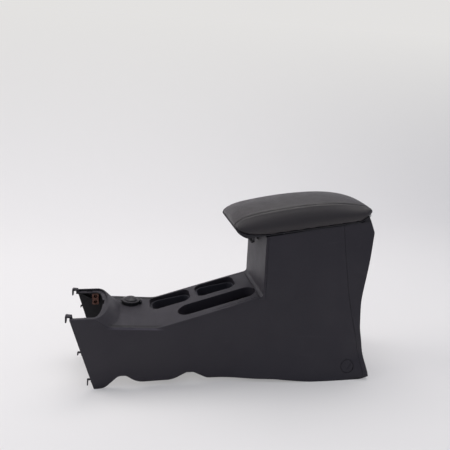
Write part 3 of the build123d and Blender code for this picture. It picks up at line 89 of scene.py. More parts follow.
class Finish:
    """A material and short ways to add nodes to it."""

    def __init__(self, name, colour, roughness, specular=0.5, metallic=0.0):
        self.material = bpy.data.materials.new(name)
        self.material.use_nodes = True
        self.tree = self.material.node_tree
        self.shader = self.tree.nodes["Principled BSDF"]
        self.shader.inputs["Base Color"].default_value = (*colour, 1)
        self.shader.inputs["Roughness"].default_value = roughness
        self.shader.inputs["Specular IOR Level"].default_value = specular
        self.shader.inputs["Metallic"].default_value = metallic
        self.coordinates = self.node("ShaderNodeTexCoord").outputs["Object"]

    def node(self, kind, **values):
        """A new node with some of its settings."""
        made = self.tree.nodes.new(kind)
        for key, value in values.items():
            setattr(made, key, value)
        return made

    def join(self, source, target):
        """Links one socket to another."""
        self.tree.links.new(source, target)

    def noise(self, scale, detail=3.0, stretch=None, distortion=0.0):
        """Noise over the object's coordinates, with features of about 1 / scale metres."""
        made = self.node("ShaderNodeTexNoise")
        made.inputs["Scale"].default_value = scale
        made.inputs["Detail"].default_value = detail
        made.inputs["Distortion"].default_value = distortion
        if stretch:
            mapping = self.node("ShaderNodeMapping")
            mapping.inputs["Scale"].default_value = stretch
            self.join(self.coordinates, mapping.inputs["Vector"])
            self.join(mapping.outputs["Vector"], made.inputs["Vector"])
        else:
            self.join(self.coordinates, made.inputs["Vector"])
        return made.outputs["Fac"]

    def cells(self, scale, feature="F1", smoothness=None):
        """Voronoi cells over the object's coordinates."""
        made = self.node("ShaderNodeTexVoronoi", feature=feature)
        made.inputs["Scale"].default_value = scale
        if smoothness is not None:
            made.inputs["Smoothness"].default_value = smoothness
        self.join(self.coordinates, made.inputs["Vector"])
        return made.outputs["Distance"]

    def ranged(self, value, low, high, out_low, out_high):
        """A value carried from one range to another, clamped."""
        made = self.node("ShaderNodeMapRange")
        limits = {"From Min": low, "From Max": high, "To Min": out_low, "To Max": out_high}
        for name, number in limits.items():
            made.inputs[name].default_value = number
        self.join(value, made.inputs["Value"])
        return made.outputs["Result"]

    def tint(self, factor, first, second):
        """A blend of two colours, or of the output of an earlier blend and a colour."""
        made = self.node("ShaderNodeMix", data_type="RGBA")
        self.join(factor, made.inputs["Factor"])
        for number, colour in ((BLEND_FIRST, first), (BLEND_SECOND, second)):
            if isinstance(colour, tuple):
                made.inputs[number].default_value = (*colour, 1)
            else:
                self.join(colour, made.inputs[number])
        return made.outputs[BLEND_RESULT]

    def colour_from(self, socket):
        """Colours the surface by a socket."""
        self.join(socket, self.shader.inputs["Base Color"])

    def roughness_from(self, socket):
        """Gives the surface its roughness by a socket."""
        self.join(socket, self.shader.inputs["Roughness"])

    def rounded(self, radius):
        """A normal that turns softly over sharp edges, as if they were rounded by a radius."""
        made = self.node("ShaderNodeBevel", samples=4)
        if isinstance(radius, float):
            made.inputs["Radius"].default_value = radius
        else:
            self.join(radius, made.inputs["Radius"])
        return made.outputs["Normal"]

    def along_edges(self, normal, sharp=0.80, even=0.98):
        """1 along sharp edges, 0 on the faces between them. Sharp and even say how well a rounded
        normal agrees with its face's there."""
        plain = self.node("ShaderNodeNewGeometry").outputs["Normal"]
        made = self.node("ShaderNodeVectorMath", operation="DOT_PRODUCT")
        self.join(normal, made.inputs[0])
        self.join(plain, made.inputs[1])
        return self.ranged(made.outputs["Value"], sharp, even, 1.0, 0.0)

    def hollows(self, reach, deep=0.15, clear=0.75):
        """1 deep in slots, gaps and pockets, 0 in the open. Deep and clear are the open shares of
        the room within reach, in metres."""
        made = self.node("ShaderNodeAmbientOcclusion", samples=4)
        made.inputs["Distance"].default_value = reach
        return self.ranged(made.outputs["AO"], deep, clear, 1.0, 0.0)

    def part(self, vector, axis):
        """One axis of a vector, by its letter."""
        made = self.node("ShaderNodeSeparateXYZ")
        self.join(vector, made.inputs["Vector"])
        return made.outputs[axis]

    def maths(self, operation, first, second=None):
        """A sum, product or the like of two values."""
        made = self.node("ShaderNodeMath", operation=operation)
        for socket, value in zip(made.inputs, (first, second)):
            if value is not None:
                self.join(value, socket)
        return made.outputs["Value"]

    def between(self, value, low, high, soft):
        """1 between two numbers, falling to 0 over a soft distance on either side."""
        return self.maths("MULTIPLY", self.ranged(value, low - soft, low, 0.0, 1.0),
                          self.ranged(value, high, high + soft, 1.0, 0.0))

    def bump(self, *layers, over=None):
        """Bump layers, each a height, its strength and its depth in metres, laid over a normal."""
        last = over
        for height, strength, depth in layers:
            made = self.node("ShaderNodeBump")
            made.inputs["Strength"].default_value = strength
            made.inputs["Distance"].default_value = depth
            self.join(height, made.inputs["Height"])
            if last is not None:
                self.join(last, made.inputs["Normal"])
            last = made.outputs["Normal"]
        self.join(last, self.shader.inputs["Normal"])


def shade(colour, factor):
    """A colour made lighter or darker."""
    return tuple(channel * factor for channel in colour)


# How much lighter than the plastic its specks and its handling marks are.
SPECK_SHADE, SCUFF_SHADE = 1.25, 2.2
# How near a wall has to be for dust and painted shade to gather in a hollow, in metres.
DUST_AND_SHADE_REACH = 0.03


def moulded_plastic(name, colour, roughness=0.52, grain=1500.0, depth=0.00008, variation=0.1,
                    scuffs=0.25, specular=0.32, radius=0.0011, edge_highlight=1.5, hollow_dust_and_shade=0.45, body=False):
    """Grained injection-moulded plastic: slow changes of tone, faint handling marks, a painted
    highlight along the edges and dust with painted shade in the hollows. Two arguments give the
    shades of the edges and of the hollows. The console's body has more of its own: a softer
    rounding at the collar's foot, and more painted light and shade."""
    finish = Finish(name, colour, roughness, specular=specular)
    if body:
        radius = softened_foot(finish, radius)
    edges = finish.rounded(radius)
    slow = finish.ranged(finish.noise(7.0, detail=2.0), *NOISE_SPAN, 0.0, 1.0)
    base = finish.tint(slow, shade(colour, 1 - variation), shade(colour, 1 + variation))
    specks = finish.ranged(finish.noise(grain * 0.7, detail=1.0), 0.35, 0.65, 0.0, 1.0)
    grained = finish.tint(specks, base, shade(colour, SPECK_SHADE))
    streaks = finish.noise(26.0, detail=6.0, stretch=(0.35, 1.0, 1.6), distortion=1.2)
    marks = finish.ranged(streaks, 0.66, 0.78, 0.0, scuffs)
    marked = finish.tint(marks, grained, shade(colour, SCUFF_SHADE))
    # Painted highlight: the edges are made lighter where light would catch them.
    lit = finish.tint(finish.along_edges(edges), marked, shade(colour, edge_highlight))
    if body:
        lit = painted_deck_light_and_shade(finish, lit, colour)
    # Dust and painted shade: the hollows are made darker.
    finish.colour_from(finish.tint(finish.hollows(DUST_AND_SHADE_REACH), lit, shade(colour, hollow_dust_and_shade)))
    cloud = finish.noise(18.0, detail=4.0)
    finish.roughness_from(finish.ranged(cloud, *NOISE_SPAN, roughness - 0.06, roughness + 0.08))
    pebbles = finish.cells(grain, "SMOOTH_F1", 0.6)
    waves = finish.noise(60.0, detail=2.0)
    finish.bump((pebbles, 0.5, depth), (waves, 0.15, depth * 2), over=edges)
    return finish.material


# The room of the collar's foot on the deck, from corner to corner, how softly it ends along the
# car and upwards, and the radius in it.
FOOT_LOW, FOOT_HIGH, FOOT_SOFT, FOOT_RADIUS = (24, 0, 131), (76, 0, 157), (8, 5), 9


def softened_foot(finish, radius):
    """A wider radius where the collar flows down into the deck."""
    low, high = place(*FOOT_LOW), place(*FOOT_HIGH)
    x, z = (finish.part(finish.coordinates, axis) for axis in "XZ")
    room = finish.maths("MULTIPLY", finish.between(x, low.x, high.x, FOOT_SOFT[0] * MM),
                        finish.between(z, low.z, high.z, FOOT_SOFT[1] * MM))
    return finish.ranged(room, 0.0, 1.0, radius, FOOT_RADIUS * MM)


# The flat part of the deck falls to the rear by this angle, down to the deck's bend.
DECK_FALL, DECK_BEND = radians(4.1), (128.7, 0, 142)
# Where the deck's painted highlight and shadow line run along the car, and how softly they end.
LINES_START, LINES_END, LINES_SOFT = 40, 124, 20
# A painted highlight on the deck's shoulder and a painted shadow line inside it: each one's band
# above the deck's level and its band out from the middle, with how softly the bands end, and its
# shade.
DECK_HIGHLIGHT_AND_SHADOW = (((-4.2, -1.2, 1.2), (81.0, 90.0, 1.0), 3.2),
              ((-1.6, 4.0, 0.5), (73.0, 80.0, 2.0), 0.15))
# Painted shade on the walls' inside at the front, which gets no light: where it fades out along the
# car, and its shade.
UNLIT_END, LIT_START, UNLIT_SHADE = 60, 100, 0.3


def painted_deck_light_and_shade(finish, tone, colour):
    """A painted highlight along the deck's flat part with a painted shadow line inside it, and
    painted shade on the front's unlit inside."""
    x, y, z = (finish.part(finish.coordinates, axis) for axis in "XYZ")
    out = finish.maths("ABSOLUTE", y)
    fall, bend = tan(DECK_FALL), place(*DECK_BEND)
    level = finish.maths("ADD", z, finish.ranged(x, -1.0, 1.0, -fall, fall))
    deck = bend.z + fall * bend.x
    run = finish.between(x, place(LINES_START, 0, 0).x, place(LINES_END, 0, 0).x, LINES_SOFT * MM)
    # Painted highlight on the shoulder and a painted shadow line inside it.
    for (below, above, blur), (near, far, fade), factor in DECK_HIGHLIGHT_AND_SHADOW:
        height = finish.between(level, deck + below * MM, deck + above * MM, blur * MM)
        line = finish.maths("MULTIPLY", height, finish.between(out, near * MM, far * MM, fade * MM))
        tone = finish.tint(finish.maths("MULTIPLY", run, line), tone, shade(colour, factor))
    # Painted shade on the inward-facing walls at the front.
    normal = finish.node("ShaderNodeNewGeometry").outputs["Normal"]
    facing = finish.maths("MULTIPLY", y, finish.part(normal, "Y"))
    inward = finish.ranged(facing, -0.03, -0.006, 1.0, 0.0)
    front = finish.ranged(x, place(UNLIT_END, 0, 0).x, place(LIT_START, 0, 0).x, 1.0, 0.0)
    return finish.tint(finish.maths("MULTIPLY", inward, front), tone, shade(colour, UNLIT_SHADE))


def vinyl(name, colour):
    """Soft grained vinyl over foam: small pebbles, fine creases with painted shade in them and a
    slow mottle.
    """
    finish = Finish(name, colour, 0.5, specular=0.4)
    slow = finish.ranged(finish.noise(9.0, detail=3.0), *NOISE_SPAN, 0.0, 1.0)
    base = finish.tint(slow, shade(colour, 0.93), shade(colour, 1.07))
    pebbles = finish.cells(620.0, "DISTANCE_TO_EDGE")
    crease_shade = finish.ranged(pebbles, 0.0, 0.12, 1.0, 0.0)
    # Painted shade: the creases between the pebbles are made darker.
    finish.colour_from(finish.tint(crease_shade, base, shade(colour, 0.72)))
    finish.roughness_from(finish.ranged(finish.noise(35.0, detail=3.0), *NOISE_SPAN, 0.43, 0.55))
    finish.shader.inputs["Sheen Weight"].default_value = 0.06
    finish.shader.inputs["Sheen Roughness"].default_value = 0.5
    finish.bump((finish.ranged(pebbles, 0.0, 0.25, 0.0, 1.0), 0.55, 0.00016),
                (finish.noise(2200.0, detail=2.0), 0.25, 0.00005),
                (finish.noise(22.0, detail=3.0), 0.2, 0.0008))
    return finish.material


def metal(name, colour, roughness=0.32):
    """Plated steel with a faint brushed grain and cloudy tarnish."""
    finish = Finish(name, colour, roughness, metallic=1.0)
    cloud = finish.ranged(finish.noise(80.0, detail=4.0), *NOISE_SPAN, 0.0, 1.0)
    finish.colour_from(finish.tint(cloud, shade(colour, 0.82), colour))
    brushed = finish.noise(300.0, detail=3.0, stretch=(1.0, 0.1, 1.0))
    finish.roughness_from(finish.ranged(brushed, *NOISE_SPAN, roughness - 0.06, roughness + 0.12))
    finish.bump((finish.noise(900.0, detail=2.0, stretch=(1.0, 0.08, 1.0)), 0.2, 0.00003))
    return finish.material


def soft_rubber(name, colour):
    """Dull rubber with a little dust on it."""
    finish = Finish(name, colour, 0.75, specular=0.35)
    dust = finish.ranged(finish.noise(120.0, detail=4.0), 0.55, 0.75, 0.0, 0.5)
    finish.colour_from(finish.tint(dust, colour, shade(colour, 2.0)))
    finish.bump((finish.noise(1500.0, detail=2.0), 0.3, 0.00006))
    return finish.material


# Plastic with a finer grain than the panels'.
FINE = {"grain": 2400.0, "depth": 0.00003}
finishes = {
    "panel": moulded_plastic("console panel plastic", (0.0245, 0.0215, 0.0270), body=True),
    # The cup liner's rims get a strong painted highlight along their edges.
    "cup_liner": moulded_plastic("cup liner plastic", (0.028, 0.027, 0.034), roughness=0.5,
                                 grain=2200.0, depth=0.00004, radius=0.0018, edge_highlight=3.2, hollow_dust_and_shade=0.5),
    "bin_plastic": moulded_plastic("bin plastic", (0.020, 0.020, 0.022), roughness=0.6),
    "lid_shell": moulded_plastic("lid shell plastic", (0.013, 0.012, 0.015), roughness=0.6,
                                 grain=520.0, depth=0.0003, scuffs=0.1),
    "vinyl": vinyl("armrest vinyl", (0.0305, 0.0255, 0.0265)),
    "frame_plastic": moulded_plastic("lid frame plastic", (0.05, 0.05, 0.05), roughness=0.6),
    "outlet_plastic": moulded_plastic("outlet plastic", (0.010, 0.0095, 0.012), roughness=0.45,
                                      **FINE),
    "cap_plastic": moulded_plastic("outlet cap plastic", (0.026, 0.0235, 0.027), roughness=0.42,
                                   variation=0.05, **FINE),
    "steel": metal("zinc-plated steel", (0.58, 0.58, 0.57)),
    "spring_steel": metal("spring wire", (0.42, 0.42, 0.43), 0.28),
    "rubber": soft_rubber("bumper rubber", (0.015, 0.015, 0.016)),
    "connector": moulded_plastic("connector plastic", (0.13, 0.058, 0.040), roughness=0.4, **FINE),
}
# Each node's finish and the moving body it belongs to, from the part's own record.
record = frame["record"]
slots = {entry["node"]: entry["material_slot"] for entry in record["subparts"]}
bodies = {node: body for body, members in record["behaviour"]["bodies"].items() for node in members}


# Moulded pieces: each node's triangles are joined so that its curved faces shade smoothly.

# The room of the deck's long outer edges: along the car, out from the middle, and in height.
EDGES_ALONG, EDGES_OUT, EDGES_HEIGHT = (42, 356), 78, (135, 208)
# An edge is rolled over where its faces meet at more than this angle.
ROLLED_ANGLE = radians(30)
# How the lid's ends are blunted: where that starts along the car, the length over which it grows
# and how far the tip is pulled in, and the power that it grows by.
BLUNT_NOSE, BLUNT_REAR, BLUNT_POWER = (310, 27.5, 8.0), (596, 21, 5.0), 1.5
# What is left of a screw cover's width.
DISC_WIDTH = 0.95
# How much the middle of the outlet cap's dome is raised.
DOME_RISE = 3.5
# Corners of triangles that lie closer than this are one, in metres.
SAME_POINT = 2e-6


def dress(obj, slot_name):
    """Gives an object one of the finishes."""
    obj.data.materials.clear()
    obj.data.materials.append(finishes[slot_name])


def along_deck(edge):
    """Whether an edge is one of the deck's two long outer edges."""
    x, y, z = drawn((edge.verts[0].co + edge.verts[1].co) / 2)
    return (EDGES_ALONG[0] < x < EDGES_ALONG[1] and abs(y) > EDGES_OUT
            and EDGES_HEIGHT[0] < z < EDGES_HEIGHT[1])


def roll_edges(form, chosen, width, steps):
    """Rounds the chosen edges of a form, where its faces meet at an angle."""
    edges = [edge for edge in form.edges if len(edge.link_faces) == 2
             and edge.calc_face_angle(0) > ROLLED_ANGLE and chosen(edge)]
    bmesh.ops.bevel(form, geom=edges, offset=width * MM, segments=steps, profile=0.5,
                    affect="EDGES", clamp_overlap=True)


def pulled_in(past, length, most):
    """How far a point is pulled in that lies past the start of a blunt end."""
    return min(max(past / length, 0), 1) ** BLUNT_POWER * most


def blunted(point):
    """A point of the lid, moved so that the lid's nose and rear end are blunt."""
    x = drawn(point)[0]
    nose = pulled_in(BLUNT_NOSE[0] - x, *BLUNT_NOSE[1:])
    rear = pulled_in(x - BLUNT_REAR[0], *BLUNT_REAR[1:])
    return point + Vector(((nose - rear) * MM, 0, 0))


def blunt_lid(form):
    """Blunts the nose and the rear end of a piece of the lid."""
    for vertex in form.verts:
        vertex.co = blunted(vertex.co)


def middle_and_size(form):
    """The middle of a form's box and the box's size."""
    low, high = (Vector([pick(vertex.co[axis] for vertex in form.verts) for axis in range(3)])
                 for pick in (min, max))
    return (low + high) / 2, high - low


def narrow_disc(form):
    """Opens the ring-shaped gap round a screw cover a little."""
    middle, _ = middle_and_size(form)
    for vertex in form.verts:
        arm = vertex.co - middle
        vertex.co = middle + Vector((arm.x * DISC_WIDTH, arm.y, arm.z * DISC_WIDTH))


def raise_dome(form):
    """Gives the outlet's cap the fuller dome of the real one."""
    middle, size = middle_and_size(form)
    for vertex in form.verts:
        arm = vertex.co - middle
        away = (arm.x ** 2 + arm.y ** 2) ** 0.5 / (size.y / 2)
        if arm.z > 0 and away < 1:
            full = DOME_RISE * MM * (1 - away ** 2)
            vertex.co.z += full * min(arm.z / (size.z / 2) * 2, 1)


# Nodes with edges that are rolled over more than their solids show: which edges, the width and
# the steps.
ROLLED_EDGES = {"console_body": (along_deck, 3.6, 4)}
# Nodes with a form that is changed a little.
RESHAPED = {"lid_lower_shell": blunt_lid, "screw_cover_near": narrow_disc,
            "screw_cover_far": narrow_disc, "outlet_cap": raise_dome}


def joined_copy(node, angle):
    """Dresses a node as a copy whose triangles share their corners, smooth but for sharp edges."""
    mesh = frame["nodes"][node].data.copy()
    mesh.name = node + "_form"
    form = bmesh.new()
    form.from_mesh(mesh)
    bmesh.ops.remove_doubles(form, verts=form.verts, dist=SAME_POINT)
    if node in ROLLED_EDGES:
        roll_edges(form, *ROLLED_EDGES[node])
    if node in RESHAPED:
        RESHAPED[node](form)
    for face in form.faces:
        face.smooth = True
    form.to_mesh(mesh)
    form.free()
    if "custom_normal" in mesh.attributes:
        mesh.attributes.remove(mesh.attributes["custom_normal"])
    mesh.set_sharp_from_angle(angle=radians(angle))
    piece = link(bpy.data.objects.new(node + "_form", mesh))
    dress(piece, slots[node])
    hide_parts(node)
    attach(piece, bodies[node])


for node, obj in frame["nodes"].items():
    dress(obj, slots[node])


# Camera, at the photograph's place and angle

camera = link(bpy.data.objects.new("camera", bpy.data.cameras.new("camera")))
camera.data.sensor_width = 36.0
camera.data.lens = 40.0
right = (0.98171, -0.18565, 0.04214)
up = (0.00801, 0.26143, 0.96519)
back = (-0.19021, -0.9472, 0.25813)
turn = Matrix((right, up, back)).transposed()
camera.matrix_world = Matrix.Translation(place(67.9, -1077.7, 643.1)) @ turn.to_4x4()
camera.data.clip_start = 0.05
camera.data.clip_end = 50
bpy.context.scene.camera = camera


# Floor and light

# The tone that the camera sees of the sheet and beyond it.
SHEET_SEEN = (0.77, 0.76, 0.75)
# Heights in metres at which the sheet's even tone starts and is full, and its share at the start.
EVEN_START, EVEN_FULL, EVEN_SHARE = 0.02, 1.1, 0.3
LAMP_POWER, LAMP_TONE = 30, (1.0, 0.98, 0.95)


def pale_sheet():
    """A matt pale finish. What the camera sees of it keeps an even tone up the backdrop and a
    light shadow on the floor."""
    finish = Finish("pale sheet", (0.84, 0.82, 0.82), 0.95, specular=0.1)
    height = finish.part(finish.coordinates, "Z")
    share = finish.ranged(height, EVEN_START, EVEN_FULL, EVEN_SHARE, 1.0)
    seen = finish.node("ShaderNodeLightPath").outputs["Is Camera Ray"]
    even = finish.node("ShaderNodeEmission")
    even.inputs["Color"].default_value = (*SHEET_SEEN, 1)
    mixed = finish.node("ShaderNodeMixShader")
    finish.join(finish.maths("MULTIPLY", seen, share), mixed.inputs["Fac"])
    finish.join(finish.shader.outputs["BSDF"], mixed.inputs[1])
    finish.join(even.outputs["Emission"], mixed.inputs[2])
    surface = finish.tree.nodes["Material Output"].inputs["Surface"]
    finish.join(mixed.outputs["Shader"], surface)
    return finish.material


def pale_cove():
    """A pale sheet that runs over the floor and up behind the object in one long curve."""
    half, front, bend, radius, top, steps = 6.0, -5.0, 1.1, 1.4, 5.0, 24
    turns = [radians(90 * step / steps) for step in range(steps + 1)]
    curve = [(bend + radius * sin(turn), radius * (1 - cos(turn))) for turn in turns]
    line = [(front, 0.0)] + curve + [(bend + radius, top)]
    points = [(x, y, z) for y, z in line for x in (-half, half)]
    faces = [(2 * i, 2 * i + 1, 2 * i + 3, 2 * i + 2) for i in range(len(line) - 1)]
    mesh = bpy.data.meshes.new("cove")
    mesh.from_pydata(points, [], faces)
    smooth_faces(mesh)
    cove = link(bpy.data.objects.new("cove", mesh))
    mesh.materials.append(pale_sheet())


def soft_light(name, where, aim, size):
    """A warm rectangular lamp that shines at a point."""
    lamp = bpy.data.lights.new(name, "AREA")
    lamp.shape = "RECTANGLE"
    lamp.size, lamp.size_y = size
    lamp.energy = LAMP_POWER
    lamp.color = LAMP_TONE
    obj = link(bpy.data.objects.new(name, lamp))
    obj.location = where
    obj.rotation_mode = "QUATERNION"
    obj.rotation_quaternion = (Vector(aim) - Vector(where)).to_track_quat("-Z", "Y")


def studio():
    """A cool even sky, pale to the camera, with a warm lamp from the car's front and one from
    above."""
    world = bpy.data.worlds.new("studio")
    bpy.context.scene.world = world
    world.use_nodes = True
    tree = world.node_tree
    sky = tree.nodes["Background"]
    sky.inputs["Color"].default_value = (0.90, 0.95, 1.10, 1)
    sky.inputs["Strength"].default_value = 0.41
    backdrop = tree.nodes.new("ShaderNodeBackground")
    backdrop.inputs["Color"].default_value = (*SHEET_SEEN, 1)
    seen = tree.nodes.new("ShaderNodeLightPath")
    mixed = tree.nodes.new("ShaderNodeMixShader")
    tree.links.new(seen.outputs["Is Camera Ray"], mixed.inputs["Fac"])
    tree.links.new(sky.outputs["Background"], mixed.inputs[1])
    tree.links.new(backdrop.outputs["Background"], mixed.inputs[2])
    tree.links.new(mixed.outputs["Shader"], tree.nodes["World Output"].inputs["Surface"])
    soft_light("key", where=(-2.1, 0.5, 1.9), aim=(0.0, 0.1, 0.2), size=(1.6, 1.6))
    soft_light("top", where=(0.3, 0.5, 2.4), aim=(0.1, 0.0, 0.2), size=(1.8, 1.4))


pale_cove()
studio()

scene = bpy.context.scene
scene.view_settings.view_transform = "Standard"


# Armrest lid cover: vinyl over foam, swollen from the lid pad's form, with a seam along each crease

# The flat of the lid's underside lies over the box's rim and rises to the rear.
BOX_FACE_X, BOX_TOP_Z, BOX_TOP_RISE, LID_GAP = 361, 343.3, radians(7.6), 3.0
RISE = tan(BOX_TOP_RISE)
FLAT_Z = BOX_TOP_Z + LID_GAP / cos(BOX_TOP_RISE)
# The seam's line on one side: place along the car, half width, and lift above the flat.
SEAM = ((284.5, 68.0, 20.0), (285.8, 67.5, 28.0), (290.0, 66.5, 34.5), (299.0, 66.0, 39.5),
        (312.0, 66.0, 44.5), (328.0, 66.0, 48.0), (350.0, 66.0, 50.4), (375.0, 66.0, 52.1),
        (410.0, 66.0, 53.4), (445.0, 66.0, 53.5), (480.0, 66.0, 52.0), (516.0, 66.0, 49.0),
        (552.0, 66.0, 43.0), (576.0, 65.5, 36.9), (592.0, 64.0, 31.0), (603.0, 61.0, 24.5),
        (611.0, 57.0, 17.0))
SEAM_STEPS = 9
# The room for the lid's frame inside the pad: along the car, out from the middle, above the flat.
FRAME_ALONG, FRAME_HALF, FRAME_LIFT = (322, 578), 78.0, 16.5
# The vinyl's lower edge: place along the car and lift above the flat.
COVER_EDGE = ((270, 38.3), (284, 27.3), (300, 18.3), (317, 10.8), (345, 5.3), (365, 2.8),
              (574, 2.8), (584, 8.3), (594, 12.7), (604, 14.7), (625, 17.3))
# The cover's even faces, how they are smoothed, and what the smooth form is drawn in by.
VOXEL = 4.0
SMOOTH_TIMES, SMOOTH_SHARE = 2, 0.35
SHRINK = 0.8
# How far the vinyl's lower edge reaches down over the lid's shell, and how high that is felt.
HEM, HEM_FADE = 2.0, 7
# What holds the swelling cover: a band above its lower edge, and one round the seams, less firmly.
EDGE_BAND, SEAM_BAND, SEAM_GRIP = 3.5, 4, 0.5
SWELL_CAP = 2.4
SWELL_FRAMES = 14
# The seam's groove: its depth and width. The roll beside it: its height, place and width.
GROOVE_DEPTH, GROOVE_WIDTH = 1.3, 1.9
ROLL_HEIGHT, ROLL_PLACE, ROLL_WIDTH = 0.35, 5.0, 2.4
SEWN_REACH = 13
SEAM_THREAD, THREAD_LIFT, THREAD_SIDES = 0.55, 0.1, 8


def read_off(table, x):
    """A value read off a table of places, straight between them."""
    for (x0, v0), (x1, v1) in zip(table, table[1:]):
        if x <= x1:
            return v0 + (v1 - v0) * max(x - x0, 0) / (x1 - x0)
    return table[-1][1]


def lift_of(x, z):
    """How far a drawn height lies above the flat of the lid's underside."""
    return z - FLAT_Z - (x - BOX_FACE_X) * RISE


def seam_line(side):
    """Points close together along the smooth seam of one side."""
    rows = [Vector(row) for row in SEAM]
    rows = [2 * rows[0] - rows[1]] + rows + [2 * rows[-1] - rows[-2]]
    line = []
    for before, a, b, after in zip(rows, rows[1:], rows[2:], rows[3:]):
        for step in range(SEAM_STEPS):
            t = step / SEAM_STEPS
            x, half, lift = (a * 2 + (b - before) * t
                             + (before * 2 - a * 5 + b * 4 - after) * t ** 2
                             + (a * 3 - before - b * 3 + after) * t ** 3) / 2
            line.append(place(x, side * half, FLAT_Z + (x - BOX_FACE_X) * RISE + lift))
    return line


def even_form(node):
    """A node's form remade in even small faces, as cloth needs."""
    rough = link(bpy.data.objects.new("even form", frame["nodes"][node].data.copy()))
    voxels = rough.modifiers.new("voxels", "REMESH")
    voxels.mode = "VOXEL"
    voxels.voxel_size = VOXEL * MM
    mesh = finished_mesh(rough)
    bpy.data.objects.remove(rough)
    form = bmesh.new()
    form.from_mesh(mesh)
    for _ in range(SMOOTH_TIMES):
        bmesh.ops.smooth_vert(form, verts=form.verts, factor=SMOOTH_SHARE,
                              use_axis_x=True, use_axis_y=True, use_axis_z=True)
    form.normal_update()
    for vertex in form.verts:
        vertex.co -= vertex.normal * SHRINK * MM
        x, _, z = drawn(vertex.co)
        over_edge = max(lift_of(x, z) - read_off(COVER_EDGE, x), 0)
        vertex.co.z -= HEM * max(1 - over_edge / HEM_FADE, 0) * MM
        vertex.co = blunted(vertex.co)
    form.to_mesh(mesh)
    form.free()
    return mesh


def hold_points(cover, seams):
    """Marks what the swelling cover is held at: its lower edge, the frame's room and, less firmly,
    the seams."""
    held = cover.vertex_groups.new(name="held")
    for vertex in cover.data.vertices:
        x, y, z = drawn(vertex.co)
        lift = lift_of(x, z)
        at_frame = (FRAME_ALONG[0] < x < FRAME_ALONG[1] and abs(y) < FRAME_HALF
                    and lift < FRAME_LIFT)
        if at_frame or lift < read_off(COVER_EDGE, x) + EDGE_BAND:
            held.add([vertex.index], 1.0, "REPLACE")
        elif seams.find(vertex.co)[2] < SEAM_BAND * MM:
            held.add([vertex.index], SEAM_GRIP, "REPLACE")


def swell(cover, seams):
    """Lets the foam push the cover out a little, as cloth under pressure held at its seams and
    edge."""
    start = [vertex.co.copy() for vertex in cover.data.vertices]
    hold_points(cover, seams)
    cloth = cover.modifiers.new("foam", "CLOTH")
    settings = cloth.settings
    settings.quality = 6
    settings.mass = 0.3
    settings.tension_stiffness = settings.compression_stiffness = 30
    settings.shear_stiffness = 15
    settings.bending_stiffness = 4
    settings.use_pressure = True
    settings.uniform_pressure_force = 4.0
    settings.vertex_group_mass = "held"
    settings.pin_stiffness = 1.0
    settings.effector_weights.gravity = 0
    cloth.collision_settings.use_collision = False
    cloth.point_cache.frame_start, cloth.point_cache.frame_end = 1, SWELL_FRAMES
    for number in range(1, SWELL_FRAMES + 1):
        scene.frame_set(number)
    evaluated = cover.evaluated_get(bpy.context.evaluated_depsgraph_get())
    moved = [vertex.co.copy() for vertex in evaluated.data.vertices]
    cover.modifiers.remove(cloth)
    scene.frame_set(1)
    cap = SWELL_CAP * MM
    for vertex, old, new in zip(cover.data.vertices, start, moved):
        step = new - old
        if step.length > cap:
            step *= cap / step.length
        vertex.co = old + step
    cover.vertex_groups.clear()


def laid_on(cover, line, above):
    """A line laid on the cover's surface, a little above it."""
    surface = BVHTree.FromPolygons([vertex.co for vertex in cover.data.vertices],
                                   [polygon.vertices for polygon in cover.data.polygons])
    found = [surface.find_nearest(point) for point in line]
    return [point + normal * above * MM for point, normal, _, _ in found]


def seams_on(cover, lines):
    """The seams' points on the cover as they lie now, kept so that the nearest is found fast."""
    points = [point for line in lines for point in laid_on(cover, line, 0)]
    tree = KDTree(len(points))
    for i, point in enumerate(points):
        tree.insert(point, i)
    tree.balance()
    return tree


def sew(cover, seams):
    """Presses the seam's groove into the cover, with a small roll on each side of it."""
    shifts = []
    for vertex in cover.data.vertices:
        gap = seams.find(vertex.co)[2] / MM
        groove = GROOVE_DEPTH * exp(-(gap / GROOVE_WIDTH) ** 2)
        roll = ROLL_HEIGHT * exp(-((gap - ROLL_PLACE) / ROLL_WIDTH) ** 2)
        shifts.append(vertex.normal * (roll - groove) * MM if gap < SEWN_REACH else None)
    for vertex, shift in zip(cover.data.vertices, shifts):
        if shift is not None:
            vertex.co += shift


def thread_tree():
    """Geometry nodes that sweep a round thread along a curve."""
    tree = bpy.data.node_groups.new("seam thread", "GeometryNodeTree")
    for name, in_out, kind in (("Geometry", "INPUT", "NodeSocketGeometry"),
                               ("Thread radius", "INPUT", "NodeSocketFloat"),
                               ("Finish", "INPUT", "NodeSocketMaterial"),
                               ("Geometry", "OUTPUT", "NodeSocketGeometry")):
        tree.interface.new_socket(name, in_out=in_out, socket_type=kind)
    given, result = tree.nodes.new("NodeGroupInput"), tree.nodes.new("NodeGroupOutput")
    circle = tree.nodes.new("GeometryNodeCurvePrimitiveCircle")
    circle.inputs["Resolution"].default_value = THREAD_SIDES
    swept = tree.nodes.new("GeometryNodeCurveToMesh")
    swept.inputs["Fill Caps"].default_value = True
    smooth = tree.nodes.new("GeometryNodeSetShadeSmooth")
    real = tree.nodes.new("GeometryNodeRealizeInstances")
    painted = tree.nodes.new("GeometryNodeSetMaterial")
    tree.links.new(given.outputs["Thread radius"], circle.inputs["Radius"])
    tree.links.new(given.outputs["Geometry"], swept.inputs["Curve"])
    tree.links.new(circle.outputs["Curve"], swept.inputs["Profile Curve"])
    tree.links.new(swept.outputs["Mesh"], smooth.inputs["Geometry"])
    tree.links.new(smooth.outputs["Geometry"], real.inputs["Geometry"])
    tree.links.new(real.outputs["Geometry"], painted.inputs["Geometry"])
    tree.links.new(given.outputs["Finish"], painted.inputs["Material"])
    tree.links.new(painted.outputs["Geometry"], result.inputs["Geometry"])
    return tree


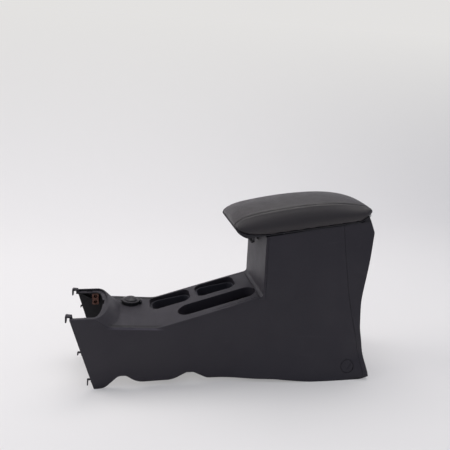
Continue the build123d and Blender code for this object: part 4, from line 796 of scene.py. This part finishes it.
def swept_along(name, lines, radius, finish):
    """A piece of round threads swept along some lines by geometry nodes."""
    curve = bpy.data.curves.new(name, "CURVE")
    curve.dimensions = "3D"
    for line in lines:
        spline = curve.splines.new("POLY")
        spline.points.add(len(line) - 1)
        for knot, point in zip(spline.points, line):
            knot.co = (*point, 1)
    path = link(bpy.data.objects.new(name + " path", curve))
    tree = thread_tree()
    nodes = path.modifiers.new("thread", "NODES")
    nodes.node_group = tree
    sockets = {item.name: item.identifier for item in tree.interface.items_tree
               if item.in_out == "INPUT"}
    nodes[sockets["Thread radius"]] = radius * MM
    nodes[sockets["Finish"]] = finish
    mesh = finished_mesh(path)
    bpy.data.objects.remove(path)
    mesh.name = name
    return link(bpy.data.objects.new(name, mesh))


def lid_cover():
    """The swollen and sewn vinyl cover in place of the lid's pad, and the thread in its seams."""
    lines = [seam_line(side) for side in (-1, 1)]
    cover = link(bpy.data.objects.new("lid_cover", even_form("lid_cushion")))
    cover.data.name = "lid_cover"
    swell(cover, seams_on(cover, lines))
    finer = cover.modifiers.new("finer", "SUBSURF")
    finer.levels = finer.render_levels = 1
    baked = finished_mesh(cover)
    cover.modifiers.clear()
    cover.data = baked
    sew(cover, seams_on(cover, lines))
    smooth_faces(cover.data)
    dress(cover, "vinyl")
    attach(cover, "lid")
    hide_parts("lid_cushion")
    threads = [laid_on(cover, line, THREAD_LIFT) for line in lines]
    thread = swept_along("lid_seam", threads, SEAM_THREAD, finishes["vinyl"])
    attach(thread, "lid")


# Nodes with curved faces, and the angle in degrees past which an edge between two faces is sharp.
SMOOTH_NODES = {
    "console_body": 24, "rear_cover": 24, "box_front_panel": 24, "storage_bin": 30,
    "cup_holder_insert": 30, "lid_lower_shell": 30, "latch_lever": 30, "outlet_bezel": 30,
    "outlet_cap": 30, "outlet_socket": 30, "outlet_contact": 30, "outlet_retainer": 30,
    "harness_connector": 30, "screw_cover_near": 30, "screw_cover_far": 30, "hinge_bracket": 30,
    "lid_hinge_leaf": 30, "hinge_pin": 30, "lid_bumpers": 30, "latch_spring": 40,
    "bin_screws": 30,
}
for node, angle in SMOOTH_NODES.items():
    joined_copy(node, angle)
lid_cover()
